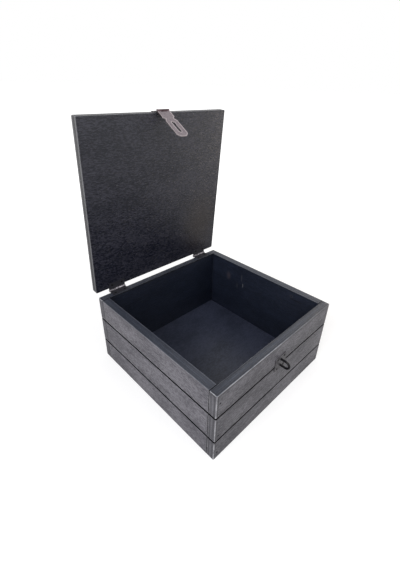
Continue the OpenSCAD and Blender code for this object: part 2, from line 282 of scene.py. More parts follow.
    @staticmethod
    def round_edges(piece: Piece, place: Place, radius: float, steps: int) -> None:
        """Rounds the edges that pass a test.

        Args:
            piece: The piece to work on.
            place: Test of an edge's middle and direction.
            radius: Radius of the rounding.
            steps: Number of faces across the rounding.
        """
        Bench.pick(piece, Element.EDGE, place)
        bpy.ops.mesh.bevel(offset=radius, segments=steps, affect="EDGES", clamp_overlap=True)
        Bench.clear()

    @staticmethod
    def soften(piece: Piece, width: float, steps: int = 2,
               angle: float = 40.0) -> None:
        """Rounds every sharp edge with a bevel modifier.

        Args:
            piece: The piece to work on.
            width: Width of the rounding.
            steps: Number of faces across the rounding.
            angle: Least angle of a sharp edge, in degrees.
        """
        Bench.hold(piece)
        modifier = piece.modifiers.new("soften", "BEVEL")
        modifier.width = width
        modifier.segments = steps
        modifier.limit_method = "ANGLE"
        modifier.angle_limit = math.radians(angle)
        modifier.use_clamp_overlap = True
        bpy.ops.object.modifier_apply(modifier=modifier.name)

    @staticmethod
    def carve(piece: Piece, tools: Iterable[Piece],
              operation: str = "DIFFERENCE") -> None:
        """Cuts other solids out of a piece, or joins them to it, and removes them.

        Args:
            piece: The piece to work on.
            tools: The solids to cut away or to join.
            operation: DIFFERENCE or UNION.
        """
        for tool in tools:
            Bench.hold(piece)
            modifier = piece.modifiers.new("carve", "BOOLEAN")
            modifier.operation = operation
            modifier.solver = "EXACT"
            modifier.object = tool
            bpy.ops.object.modifier_apply(modifier=modifier.name)
            bpy.data.objects.remove(tool)

    @staticmethod
    def place(piece: Piece, matrix: Matrix) -> None:
        """Moves the active piece and settles its place in its mesh."""
        piece.matrix_world = matrix
        bpy.ops.object.transform_apply()

    @staticmethod
    def copied(piece: Piece, matrix: Matrix) -> Piece:
        """Copies a piece with its own mesh and moves the copy.

        Args:
            piece: The piece to copy.
            matrix: Where the copy goes.

        Returns:
            The copy.
        """
        Bench.hold(piece)
        bpy.ops.object.duplicate(linked=False)
        copy = bpy.context.object
        Bench.place(copy, matrix)
        return copy

    @staticmethod
    def joined(name: str, pieces: Sequence[Piece]) -> Piece:
        """Joins pieces to one object.

        Args:
            name: The joined piece's name.
            pieces: The pieces, of which the first is kept.

        Returns:
            The joined piece.
        """
        Bench.hold(pieces[0])
        for piece in pieces[1:]:
            piece.select_set(True)
        if len(pieces) > 1:
            bpy.ops.object.join()
        return Bench.named(name)

    @staticmethod
    def settle(piece: Piece, pose: Matrix, angle: float = 35.0) -> None:
        """Puts a piece in its pose in metres, with clean normals and smooth roundings.

        Args:
            piece: The finished piece, in millimetres.
            pose: Its pose, with the translation in millimetres.
            angle: Greatest angle that is shaded smooth, in degrees.
        """
        Bench.hold(piece)
        Bench.place(piece, Matrix.Scale(1 / MM_PER_METRE, 4) @ pose)
        bpy.ops.object.shade_smooth_by_angle(angle=math.radians(angle))
        modifier = piece.modifiers.new("flats", "WEIGHTED_NORMAL")
        modifier.keep_sharp = True
        bpy.ops.object.modifier_apply(modifier=modifier.name)
        Bench.clear()


class Wiring:
    """Adds nodes to a node tree and joins their sockets."""

    def __init__(self, tree: Tree) -> None:
        """Keeps the tree that the nodes go into."""
        self.tree = tree

    def node(self, kind: str, *values: object, **settings: object) -> Node:
        """Adds a node.

        Args:
            kind: The node's type.
            *values: What goes into its first inputs, in order.
            **settings: Properties to set on it.

        Returns:
            The node.
        """
        made = self.tree.nodes.new(kind)
        for key, value in settings.items():
            setattr(made, key, value)
        for socket, value in zip(made.inputs, values):
            self.feed(socket, value)
        return made

    def feed(self, socket: Socket, value: object) -> None:
        """Joins an output to an input, or sets the input's value.

        Args:
            socket: The input.
            value: An output, a number, a vector or a colour.
        """
        if isinstance(value, Socket):
            self.tree.links.new(value, socket)
        elif socket.type == "RGBA":
            socket.default_value = (*value, 1.0)
        else:
            socket.default_value = value

    def fill(self, made: Node, **values: object) -> None:
        """Feeds a node's inputs by name, with underscores for spaces."""
        for key, value in values.items():
            self.feed(made.inputs[key.replace("_", " ")], value)

    def maths(self, operation: str, *values: object, clamp: bool = False) -> Socket:
        """Returns the result of a Math node, kept from 0 to 1 if clamp is set."""
        return self.node("ShaderNodeMath", *values, operation=operation, use_clamp=clamp).outputs[0]

    def vectors(self, operation: str, *values: object) -> Socket:
        """Returns the vector that a Vector Math node makes."""
        return self.node("ShaderNodeVectorMath", *values, operation=operation).outputs["Vector"]

    def length(self, vector: Socket) -> Socket:
        """Returns the length of a vector."""
        return self.node("ShaderNodeVectorMath", vector, operation="LENGTH").outputs["Value"]

    def split(self, vector: Socket) -> list[Socket]:
        """Returns the X, Y and Z of a vector."""
        return list(self.node("ShaderNodeSeparateXYZ", vector).outputs)

    def bundle(self, x: object, y: object, z: object) -> Socket:
        """Returns a vector made of three numbers or outputs."""
        return self.node("ShaderNodeCombineXYZ", x, y, z).outputs[0]

    def noise(self, vector: Socket, scale: float, detail: float = 2.0,
              roughness: float = 0.5, warp: float = 0.0) -> Socket:
        """Adds a Noise Texture.

        Args:
            vector: Where it is read.
            scale: Its scale.
            detail: Number of finer layers.
            roughness: Strength of the finer layers.
            warp: Distortion.

        Returns:
            The output that goes from 0 to 1.
        """
        made = self.node("ShaderNodeTexNoise")
        self.fill(made, Vector=vector, Scale=scale, Detail=detail, Roughness=roughness, Distortion=warp)
        return made.outputs[0]

    def remap(self, value: object, *ends: object) -> Socket:
        """Maps a value smoothly from a low and a high end to 0 and 1, or to two more ends."""
        return self.node("ShaderNodeMapRange", value, *ends, interpolation_type="SMOOTHSTEP").outputs[0]

    def blend(self, share: object, under: object, over: object) -> Socket:
        """Adds a colour mix.

        Args:
            share: Share of the upper colour.
            under: Colour at share 0.
            over: Colour at share 1.

        Returns:
            The mixed colour.
        """
        made = self.node("ShaderNodeMix", share, data_type="RGBA", clamp_factor=True)
        self.feed(made.inputs[6], under)
        self.feed(made.inputs[7], over)
        return made.outputs[2]

    def bump(self, height: Socket, relief: float) -> Socket:
        """Returns the normal of a relief.

        Args:
            height: Height, from 0 to 1.
            relief: What a height of 1 stands for, in millimetres.

        Returns:
            The normal.
        """
        made = self.node("ShaderNodeBump")
        self.fill(made, Strength=1.0, Distance=relief / MM_PER_METRE, Height=height)
        return made.outputs["Normal"]

    def effect(self, group: Tree, **values: object) -> bpy.types.NodeOutputs:
        """Places a node group.

        Args:
            group: The group.
            **values: What goes into its inputs, by name.

        Returns:
            The group's outputs.
        """
        made = self.node("ShaderNodeGroup", node_tree=group)
        for key, value in values.items():
            self.feed(made.inputs[key.capitalize()], value)
        return made.outputs


class Effects:
    """Node groups that several finishes share, each built once."""

    def __init__(self) -> None:
        """Builds the groups."""
        self.grain = self.build_grain()
        self.plies = self.build_plies()
        self.wear = self.build_wear()
        self.seam = self.build_seam()
        self.dust = self.build_dust()
        self.brushing = self.build_brushing()
        self.mark = self.build_mark()

    @staticmethod
    def group(name: str, inputs: dict[str, object],
              outputs: Sequence[str]) -> tuple[Wiring, bpy.types.NodeOutputs, bpy.types.NodeInputs]:
        """Starts a node group that reads a place.

        Args:
            name: The group's name.
            inputs: Its other inputs, each with the value it starts with.
            outputs: Names of its outputs, all of them numbers.

        Returns:
            The wiring, the sockets that come in and the sockets that go out.
        """
        tree = bpy.data.node_groups.new(name, "ShaderNodeTree")
        for label, value in {"Place": ORIGIN, **inputs}.items():
            kind = "NodeSocketFloat" if isinstance(value, float) else "NodeSocketVector"
            socket = tree.interface.new_socket(name=label, in_out="INPUT", socket_type=kind)
            socket.default_value = value
        for label in outputs:
            tree.interface.new_socket(name=label, in_out="OUTPUT", socket_type="NodeSocketFloat")
        wiring = Wiring(tree)
        return wiring, wiring.node("NodeGroupInput").outputs, wiring.node("NodeGroupOutput").inputs

    def build_grain(self) -> Tree:
        """Long fibres, pores and clouds of stain on wood whose grain runs along X."""
        w, given, made = self.group(
            "stained_grain", {"Fibre": 0.8, "Reach": 20.0, "Seed": 0.0},
            ("Streak", "Pore", "Cloud", "Fleck", "Height"),
        )
        shift = w.vectors("SCALE", (1.0, 0.37, 0.61))
        w.feed(shift.node.inputs["Scale"], given["Seed"])
        moved = w.vectors("ADD", given["Place"], shift)
        long_way = w.bundle(given["Reach"], given["Fibre"], given["Fibre"])
        along = w.vectors("DIVIDE", moved, long_way)
        bands = w.noise(w.vectors("MULTIPLY", along, (0.5, 0.4, 0.4)), 1.0, 3.0, 0.6)
        bands = w.remap(bands, 0.3, 0.7)
        streak = w.remap(w.noise(along, 1.0, 2.0, 0.6), 0.28, 0.72)
        hairs = w.remap(w.noise(w.vectors("MULTIPLY", along, (2.6, 2.3, 2.3)), 1.0, 2.0), 0.25, 0.75)
        pore = w.remap(w.noise(w.vectors("MULTIPLY", along, (3.4, 1.5, 1.5)), 1.0, 1.0), 0.6, 0.7)
        cloud = w.noise(w.vectors("DIVIDE", moved, (70.0, 32.0, 32.0)), 1.0, 3.0, 0.55)
        coarse = w.maths("MULTIPLY_ADD", streak, 0.5, w.maths("MULTIPLY", bands, 0.5))
        w.feed(made["Streak"], w.maths("MULTIPLY_ADD", hairs, 0.3, w.maths("MULTIPLY", coarse, 0.7)))
        w.feed(made["Pore"], pore)
        w.feed(made["Cloud"], w.remap(cloud, 0.32, 0.68))
        fleck = w.noise(w.vectors("DIVIDE", moved, (4.2, 1.5, 1.5)), 1.0, 2.0, 0.6, 0.4)
        w.feed(made["Fleck"], w.remap(fleck, 0.32, 0.68))
        relief = w.maths("MULTIPLY_ADD", hairs, 0.4, w.maths("MULTIPLY", streak, 0.6))
        w.feed(made["Height"], w.maths("MULTIPLY_ADD", pore, -0.7, relief))
        return w.tree

    def build_plies(self) -> Tree:
        """Layers of plywood seen from the side, with a thin glue line between them."""
        w, given, made = self.group(
            "ply_layers", {"Depth": 0.0, "Thickness": 12.0, "Count": 5.0}, ("Layer", "Glue"))
        sway = w.noise(w.vectors("DIVIDE", given["Place"], (60.0, 60.0, 60.0)), 1.0, 3.0)
        share = w.maths("MULTIPLY", w.maths("DIVIDE", given["Depth"], given["Thickness"]), given["Count"])
        level = w.maths("ADD", share, w.maths("MULTIPLY_ADD", sway, 0.5, -0.25))
        w.feed(made["Layer"], w.maths("MODULO", w.maths("FLOOR", w.maths("ABSOLUTE", level)), 2.0))
        part = w.maths("FRACT", level)
        near = w.maths("MINIMUM", part, w.maths("SUBTRACT", 1.0, part))
        w.feed(made["Glue"], w.remap(near, 0.05, 0.2, 1.0, 0.0))
        return w.tree

    def build_wear(self) -> Tree:
        """Rubbed arrises with a painted highlight on them and a painted shade band just inside them, on a
        board that lies along the axes between two corners.
        """
        w, given, made = self.group(
            "arris_wear", {"Low": ORIGIN, "High": (1.0, 1.0, 1.0), "Reach": 1.0}, ("Wear", "Edge Shade"))
        gaps = w.split(w.vectors(
            "MINIMUM",
            w.vectors("SUBTRACT", given["Place"], given["Low"]),
            w.vectors("SUBTRACT", given["High"], given["Place"]),
        ))
        least = w.maths("MINIMUM", w.maths("MINIMUM", gaps[0], gaps[1]), gaps[2])
        most = w.maths("MAXIMUM", w.maths("MAXIMUM", gaps[0], gaps[1]), gaps[2])
        total = w.maths("ADD", w.maths("ADD", gaps[0], gaps[1]), gaps[2])
        middle = w.maths("SUBTRACT", w.maths("SUBTRACT", total, least), most)
        patch = w.noise(w.vectors("DIVIDE", given["Place"], (9.0, 9.0, 9.0)), 1.0, 3.0, 0.6)
        patch = w.remap(patch, 0.3, 0.7, 0.6, 1.3)
        share = w.maths("DIVIDE", middle, w.maths("MULTIPLY", given["Reach"], patch))
        w.feed(made["Wear"], w.remap(share, 0.1, 1.0, 1.0, 0.0))
        aside = w.maths("ABSOLUTE", w.maths("SUBTRACT", w.maths("DIVIDE", middle, given["Reach"]), 1.9))
        w.feed(made["Edge Shade"], w.remap(aside, 0.2, 0.8, 1.0, 0.0))
        return w.tree

    def build_seam(self) -> Tree:
        """Painted shade beside two sawn grooves, darkest at each groove and fading out."""
        w, given, made = self.group("seam_shade", {"Upper": 0.0, "Lower": 0.0}, ("Shade",))
        height = w.split(given["Place"])[2]
        gaps = [
            w.maths("ABSOLUTE", w.maths("SUBTRACT", height, given[label])) for label in ("Upper", "Lower")
        ]
        near = w.maths("DIVIDE", w.maths("MINIMUM", *gaps), SEAM_REACH)
        w.feed(made["Shade"], w.remap(near, 0.6, 1.0, 1.0, 0.0))
        return w.tree

    def build_dust(self) -> Tree:
        """Fine pale specks that gather in clouds."""
        w, given, made = self.group("fine_dust", {"Amount": 0.3}, ("Dust",))
        specks = w.remap(w.noise(given["Place"], 1.6, 1.0), 0.66, 0.76)
        drift = w.noise(w.vectors("DIVIDE", given["Place"], (38.0, 38.0, 38.0)), 1.0, 2.0)
        drift = w.remap(drift, 0.4, 0.7)
        dust = w.maths("MULTIPLY", specks, drift)
        w.feed(made["Dust"], w.maths("MULTIPLY", dust, given["Amount"], clamp=True))
        return w.tree

    def build_mark(self) -> Tree:
        """One mark with ragged soft edges round a point."""
        w, given, made = self.group(
            "single_mark", {"Centre": ORIGIN, "Size": (1.0, 1.0, 1.0), "Soft": 0.3}, ("Mark",))
        aside = w.vectors("DIVIDE", w.vectors("SUBTRACT", given["Place"], given["Centre"]), given["Size"])
        ragged = w.noise(w.vectors("MULTIPLY", given["Place"], (0.5, 0.7, 0.7)), 1.0, 3.0, 0.6)
        reach = w.maths("MULTIPLY_ADD", ragged, 0.6, w.maths("SUBTRACT", w.length(aside), 0.3))
        w.feed(made["Mark"], w.remap(reach, w.maths("SUBTRACT", 1.0, given["Soft"]), 1.0, 1.0, 0.0))
        return w.tree

    def build_brushing(self) -> Tree:
        """Rolling lines, blotches and small pits on sheet metal and wire."""
        w, given, made = self.group("worked_metal", {"Reach": 4.0}, ("Line", "Blotch", "Height"))
        along = w.vectors("DIVIDE", given["Place"], w.bundle(ROLLED_FINE, ROLLED_FINE, given["Reach"]))
        lines = w.remap(w.noise(along, 1.0, 2.0, 0.6), 0.3, 0.7)
        blotch = w.remap(w.noise(given["Place"], 0.22, 4.0, 0.6), 0.38, 0.66)
        pits = w.remap(w.noise(given["Place"], 1.9, 2.0), 0.62, 0.72)
        w.feed(made["Line"], lines)
        w.feed(made["Blotch"], blotch)
        w.feed(made["Height"], w.maths("MULTIPLY_ADD", pits, -0.6, lines))
        return w.tree


EFFECTS = Effects()


def drawn_place(w: Wiring, pose: Matrix, turn: Matrix) -> Socket:
    """Reads Object coordinates back in the millimetres that the piece was drawn in.

    Args:
        w: Wiring of the material.
        pose: The piece's pose.
        turn: Turn that lays the pattern along the piece.

    Returns:
        The place, as a vector.
    """
    back = turn @ pose.inverted() @ Matrix.Scale(MM_PER_METRE, 4)
    where, spin, _ = back.decompose()
    drawn = w.node("ShaderNodeTexCoord").outputs["Object"]
    scale = (MM_PER_METRE,) * 3
    return w.node("ShaderNodeMapping", drawn, where, spin.to_euler(), scale).outputs["Vector"]


def new_material(name: str) -> tuple[Material, Wiring, Node]:
    """Starts a material.

    Args:
        name: Its name.

    Returns:
        The material, its wiring and its shader.
    """
    material = bpy.data.materials.new(name)
    material.use_nodes = True
    return material, Wiring(material.node_tree), material.node_tree.nodes["Principled BSDF"]


@dataclass(frozen=True)
class Mark:
    """A knot, a scuff, a knock or a thin place in the stain of a board."""

    centre: Point
    size: Point
    shade: Colour
    strength: float = 0.8
    soft: float = 0.3

    def paint(self, w: Wiring, place: Socket, turn: Matrix,
              colour: Socket) -> Socket:
        """Lays the mark over a board's colour.

        Args:
            w: Wiring of the material.
            place: The place, turned as the grain is.
            turn: Turn of the grain.
            colour: The colour so far.

        Returns:
            The colour with the mark on it.
        """
        size = turn.to_3x3() @ Vector(self.size)
        share = w.effect(
            EFFECTS.mark, place=place, centre=tuple(turn @ Vector(self.centre)),
            size=tuple(abs(value) for value in size), soft=self.soft,
        )["Mark"]
        return w.blend(w.maths("MULTIPLY", share, self.strength), colour, self.shade)


@dataclass(frozen=True)
class WoodFinish:
    """Black stain on wood, with the grain showing through."""

    name: str
    pore: Colour
    stain: Colour
    crest: Colour
    worn_and_highlight: Colour
    roughness: float = 0.46
    specular: float = 0.5
    relief: float = 0.1
    fibre: float = 0.9
    reach: float = 18.0
    fleck: float = 0.2
    wear_reach: float = 1.1
    plies: float = 0.0
    layer_share: float = 0.8
    glue_share: float = 0.8
    seams: tuple[float, ...] = ()

    def make(self, plan: "Board", pose: Matrix) -> Material:
        """Builds the material for one board.

        Args:
            plan: The board's plan.
            pose: The board's pose.

        Returns:
            The material.
        """
        material, w, shader = new_material(f"{plan.name}_{self.name}")
        place = drawn_place(w, pose, plan.turn)
        least, most = plan.turned_corners()
        grain = w.effect(EFFECTS.grain, place=place, fibre=self.fibre, reach=self.reach, seed=plan.seed)
        tone = w.maths("MULTIPLY", grain["Streak"], 1.0 - CLOUD_SHARE - self.fleck)
        tone = w.maths("MULTIPLY_ADD", grain["Cloud"], CLOUD_SHARE, tone)
        tone = w.maths("MULTIPLY_ADD", grain["Fleck"], self.fleck, tone)
        colour = w.blend(w.remap(tone, 0.2, 0.85), self.stain, self.crest)
        colour = w.blend(w.maths("MULTIPLY", grain["Pore"], 0.55), colour, self.pore)
        if self.plies:
            axis = plan.turned_axis()
            depth = w.split(w.vectors("SUBTRACT", place, tuple(least)))[axis]
            layers = w.effect(
                EFFECTS.plies, place=place, depth=depth,
                thickness=most[axis] - least[axis], count=self.plies,
            )
            for layer, share in (("Layer", self.layer_share), ("Glue", self.glue_share)):
                colour = w.blend(w.maths("MULTIPLY", layers[layer], share), colour, self.pore)
        # Painted shade: darkens the outer face on both sides of each groove.
        if self.seams:
            shade = w.effect(EFFECTS.seam, place=place, upper=self.seams[0], lower=self.seams[1])["Shade"]
            colour = w.blend(shade, colour, ORIGIN)
        worn_and_highlight = w.effect(
            EFFECTS.wear, place=place, low=tuple(least), high=tuple(most), reach=self.wear_reach)
        # Painted shade: a dark band just inside each arris; then the arris is lightened, partly as wear and
        # partly as a painted highlight.
        colour = w.blend(w.maths("MULTIPLY", worn_and_highlight["Edge Shade"], plan.wear * 0.8), colour, self.pore)
        colour = w.blend(w.maths("MULTIPLY", worn_and_highlight["Wear"], plan.wear), colour, self.worn_and_highlight)
        for mark in plan.marks:
            colour = mark.paint(w, place, plan.turn, colour)
        dust = w.effect(EFFECTS.dust, place=place, amount=0.3)["Dust"]
        w.fill(
            shader, Base_Color=w.blend(dust, colour, self.worn_and_highlight),
            Roughness=w.maths("MULTIPLY_ADD", grain["Streak"], -0.14, self.roughness + 0.07),
            Specular_IOR_Level=self.specular, Normal=w.bump(grain["Height"], self.relief),
        )
        return material


@dataclass(frozen=True)
class MetalFinish:
    """Sheet metal or wire, bare, plated or blackened."""

    name: str
    body: Colour
    tarnish: Colour
    metallic: float = 0.9
    roughness: float = 0.4
    tarnish_share: float = 0.5
    reach: float = 4.0
    specular: float = 0.5

    def make(self, label: str, pose: Matrix) -> Material:
        """Builds the material for one piece.

        Args:
            label: Name of the piece.
            pose: The piece's pose.

        Returns:
            The material.
        """
        material, w, shader = new_material(f"{label}_{self.name}")
        place = drawn_place(w, pose, STILL)
        worked = w.effect(EFFECTS.brushing, place=place, reach=self.reach)
        share = w.maths("MULTIPLY_ADD", worked["Line"], 0.3, w.maths("MULTIPLY", worked["Blotch"], 0.7))
        colour = w.blend(w.maths("MULTIPLY", share, self.tarnish_share), self.body, self.tarnish)
        dust = w.effect(EFFECTS.dust, place=place, amount=0.15)["Dust"]
        w.fill(
            shader, Base_Color=w.blend(dust, colour, PALE_DUST), Metallic=self.metallic,
            Roughness=w.maths("MULTIPLY_ADD", worked["Blotch"], 0.2, self.roughness - 0.06),
            Specular_IOR_Level=self.specular, Normal=w.bump(worked["Height"], METAL_RELIEF),
        )
        return material


# The worn colours below lighten the arrises, partly as wear and partly as a painted highlight.
OUTER_STAIN = WoodFinish(
    "outer_stain", pore=(0.014, 0.014, 0.02), stain=(0.03, 0.028, 0.038), crest=(0.165, 0.158, 0.178),
    worn_and_highlight=(0.4, 0.4, 0.42), roughness=0.36, fleck=0.4, wear_reach=1.3,
)
END_STAIN = WoodFinish(
    "end_stain", pore=(0.01, 0.01, 0.014), stain=(0.06, 0.058, 0.07), crest=(0.17, 0.165, 0.185),
    worn_and_highlight=(0.44, 0.44, 0.46), roughness=0.42, fibre=0.6, reach=6.0, plies=3.0, layer_share=0.15,
    glue_share=0.85, wear_reach=1.3,
)
# Painted shade: the inside faces of the walls take the outer stain painted far darker, for the shade inside
# the box.
INNER_SHADED_STAIN = WoodFinish(
    "inner_stain", pore=(0.001, 0.002, 0.004), stain=(0.002, 0.004, 0.011), crest=(0.01, 0.014, 0.028),
    worn_and_highlight=(0.06, 0.06, 0.07), roughness=0.5, specular=0.35, fleck=0.35,
)
EDGE_STAIN = WoodFinish(
    "edge_stain", pore=(0.01, 0.011, 0.016), stain=(0.022, 0.027, 0.042), crest=(0.06, 0.067, 0.09),
    worn_and_highlight=(0.34, 0.35, 0.38), roughness=0.42, specular=0.42, fibre=0.6, reach=26.0, plies=5.0,
    layer_share=0.3, glue_share=0.35, wear_reach=1.0,
)
# Painted shade in the grooves and on their rounded lips, near black and with little reflection; the arrises
# at the board joints take it as dark joint stain.
GROOVE_SHADE_AND_JOINT_STAIN = WoodFinish(
    "groove_stain", pore=(0.001, 0.001, 0.001), stain=(0.002, 0.002, 0.003), crest=(0.004, 0.004, 0.005),
    worn_and_highlight=(0.004, 0.004, 0.005), specular=0.05, roughness=0.8,
)
# Painted shade: the lid's inner face takes the outer stain painted darker, for the shade and dark
# reflections on it.
LID_INNER_SHADED_STAIN = WoodFinish(
    "lid_inner_stain", pore=(0.002, 0.002, 0.004), stain=(0.003, 0.004, 0.01), crest=(0.033, 0.033, 0.047),
    worn_and_highlight=(0.08, 0.08, 0.09), roughness=0.3, specular=0.4, fleck=0.7,
)
LID_EDGE_STAIN = WoodFinish(
    "lid_edge_stain", pore=(0.004, 0.004, 0.006), stain=(0.06, 0.06, 0.066), crest=(0.13, 0.128, 0.136),
    worn_and_highlight=(0.3, 0.3, 0.31), fibre=0.6, reach=20.0, plies=3.0, layer_share=0.9, glue_share=0.9,
)
FLOOR_STAIN = WoodFinish(
    "floor_stain", pore=(0.01, 0.012, 0.018), stain=(0.016, 0.02, 0.036), crest=(0.044, 0.051, 0.084),
    worn_and_highlight=(0.05, 0.05, 0.055), fibre=1.6, reach=3.0, relief=0.04, roughness=0.4,
)
STRAP_STEEL = MetalFinish(
    "strap_steel", body=(0.23, 0.195, 0.21), tarnish=(0.14, 0.118, 0.13), roughness=0.42,
)
RUBBED_STEEL = MetalFinish(
    "rubbed_steel", body=(0.42, 0.37, 0.38), tarnish=(0.28, 0.245, 0.255), roughness=0.36,
    tarnish_share=0.35,
)
# Painted shade with painted glints: the knuckle barrels are dark as in shade, mottled with lighter specks
# for glints.
BARREL_SHADE_AND_GLINTS = MetalFinish(
    "barrel_shade_and_glints", body=(0.15, 0.1, 0.11), tarnish=(0.012, 0.006, 0.008), roughness=0.36, reach=0.6,
    tarnish_share=1.0,
)
LEAF_STEEL = MetalFinish(
    "leaf_steel", body=(0.06, 0.05, 0.055), tarnish=(0.02, 0.015, 0.017), roughness=0.36,
)
HINGE_BLACK = MetalFinish(
    "hinge_black", body=(0.02, 0.02, 0.026), tarnish=(0.01, 0.01, 0.014), metallic=0.0, roughness=0.38,
)
HINGE_STEEL = MetalFinish(
    "hinge_steel", body=(0.34, 0.32, 0.35), tarnish=(0.03, 0.028, 0.03), roughness=0.3, tarnish_share=0.9,
)
PIN_STEEL = MetalFinish("pin_steel", body=(0.42, 0.4, 0.41), tarnish=(0.16, 0.15, 0.15), roughness=0.3)
PLATE_STEEL = MetalFinish(
    "plate_steel", body=(0.11, 0.105, 0.115), tarnish=(0.05, 0.047, 0.052), metallic=0.5, roughness=0.42,
)
WIRE_BLACK = MetalFinish(
    "wire_black", body=(0.004, 0.004, 0.006), tarnish=(0.002, 0.002, 0.003), metallic=0.0, roughness=0.26,
    specular=0.18,
)
SCREW_BLACK = MetalFinish(
    "screw_black", body=(0.007, 0.007, 0.008), tarnish=(0.003, 0.003, 0.003), metallic=0.1, roughness=0.4,
    specular=0.22,
)
NAIL_BLACK = MetalFinish(
    "nail_black", body=(0.012, 0.012, 0.014), tarnish=(0.005, 0.005, 0.006), metallic=0.2, roughness=0.6,
    specular=0.2,
)
BRAD_STEEL = MetalFinish("brad_steel", body=(0.2, 0.2, 0.2), tarnish=(0.08, 0.06, 0.05), roughness=0.45)


def paint_zones(piece: Piece, materials: Sequence[Material],
                slot_of: Callable[[Vector, Vector], int]) -> None:
    """Gives each face the material of its zone, while the piece is in millimetres.

    Args:
        piece: The piece.
        materials: Its materials.
        slot_of: Number of a face's material, from the face's middle and normal.
    """
    piece.data.materials.clear()
    for material in materials:
        piece.data.materials.append(material)
    for polygon in piece.data.polygons:
        polygon.material_index = slot_of(polygon.center, polygon.normal)


def hand_over(piece: Piece, body: str, slot: str, *nodes: str) -> None:
    """Makes a finished piece ride on its body, and says what it stands for.

    Args:
        piece: The finished piece.
        body: The body that carries it.
        slot: Name of a material slot; not used.
        *nodes: Nodes that it replaces.
    """
    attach(piece, body)
    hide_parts(*nodes)
    LOG.info("%s rides on %s and stands for %s", piece.name, body, ", ".join(nodes))


def dress_node(node: str, material: Material) -> None:
    """Gives a kept node its material.

    Args:
        node: The node's name.
        material: The material.
    """
    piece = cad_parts[node]
    if not piece.material_slots:
        piece.data.materials.append(material)
    for slot in piece.material_slots:
        slot.material = material
    LOG.info("%s keeps its shape and gets %s", node, material.name)


def deliver(piece: Piece, label: str, finishes: Sequence[MetalFinish], pose: Matrix,
            stand_in: tuple[str, str, str],
            slot_of: Callable[[Vector, Vector], int] = lambda p, n: 0) -> None:
    """Dresses a metal piece, puts it in place and hands it over.

    Args:
        piece: The piece, in millimetres.
        label: Start of its materials' names.
        finishes: Its finishes.
        pose: Its pose.
        stand_in: The body that carries it, its material slot and the node that it stands for.
        slot_of: Number of a face's finish, from the face's middle and normal.
    """
    paint_zones(piece, [kind.make(label, pose) for kind in finishes], slot_of)
    Bench.settle(piece, pose)
    hand_over(piece, *stand_in)


def countersinks(places: Iterable[Matrix], inward: Vector, plate: float,
                 spare: float = 0.02) -> list[Piece]:
    """Returns the cones that are cut out of a plate for its screws.

    Args:
        places: Places of the screws on the plate's face.
        inward: Direction into the plate.
        plate: Thickness of the plate.
        spare: How far the cones stand out on both sides.

    Returns:
        The solids to cut away.
    """
    cones = []
    for place in places:
        start = place.translation - inward * spare
        end = place.translation + inward * (plate + spare)
        cones.append(Bench.rod("countersink", start, end, SINK_WIDE, SINK_NARROW))
    return cones


@dataclass
class Board:
    """One board of the box or the lid, between two corners."""

    name: str
    low: Point
    high: Point
    outward: Vector
    turn: Matrix
    seed: float
    # Strength of the arris wear, of its painted highlight and of the painted shade band beside it.
    wear: float = 0.3
    marks: tuple[Mark, ...] = ()

    def facing(self, normal: Vector) -> Zone:
        """Zone of a face by its normal alone."""
        share = normal.dot(self.outward)
        if share > FACING:
            return Zone.OUTER
        return Zone.INNER if share < -FACING else Zone.EDGE

    def turned_corners(self) -> tuple[list[float], list[float]]:
        """Lowest and highest corner, turned as the grain is."""
        corners = [self.turn @ Vector(self.low), self.turn @ Vector(self.high)]
        return ([min(c[i] for c in corners) for i in range(3)],
                [max(c[i] for c in corners) for i in range(3)])

    def turned_axis(self) -> int:
        """Axis through the board's thickness, turned as the grain is."""
        inward = self.turn.to_3x3() @ self.outward
        return max(range(3), key=lambda i: abs(inward[i]))


PALE_SCUFF = (0.05, 0.052, 0.062)
DARK_KNOCK_AND_SHADE = (0.012, 0.012, 0.016)
# Warm tint of a painted reflection on the lid's inner face.
WARM_PAINTED_REFLECTION = (0.035, 0.028, 0.024)
RIGHT_MARKS = (
    Mark((113.0, -66.0, 103.2), (1.5, 4.2, 3.4), (0.022, 0.024, 0.034)),
    Mark((113.0, -66.0, 103.2), (1.5, 1.4, 1.3), (0.001, 0.001, 0.002), 1.0),
    Mark((113.0, -76.0, 98.5), (1.5, 15.0, 1.3), (0.001, 0.001, 0.003), 0.8, 0.5),
    Mark((113.0, 38.5, 91.0), (1.5, 1.6, 10.0), PALE_SCUFF, 0.5, 0.6),
    Mark((113.0, 34.6, 76.0), (1.5, 1.1, 5.5), (0.11, 0.112, 0.125), 0.9, 0.5),
    Mark((113.0, 48.0, 70.0), (1.5, 3.0, 8.0), PALE_SCUFF, 0.3, 0.8),
    Mark((113.0, 70.0, 83.0), (1.5, 7.5, 12.0), (0.036, 0.03, 0.038), 0.7, 0.9),
)
FRONT_MARKS = (
    Mark((-116.7, -125.0, 105.1), (2.0, 1.0, 1.4), DARK_KNOCK_AND_SHADE, 0.7, 0.6),
    Mark((-125.0, -119.5, 110.5), (1.0, 1.6, 1.3), DARK_KNOCK_AND_SHADE, 0.7, 0.6),
    # Painted shade: a long dark line on the front face just beside the rounded front-left corner.
    Mark((-121.9, -125.0, 95.0), (0.5, 1.0, 60.0), DARK_KNOCK_AND_SHADE, 0.75, 0.7),
    # Painted shade: dulls the painted highlight on the front board's top arris towards the right.
    Mark((110.0, -125.0, 113.5), (150.0, 1.7, 1.7), (0.06, 0.059, 0.07), 0.85, 0.8),
)
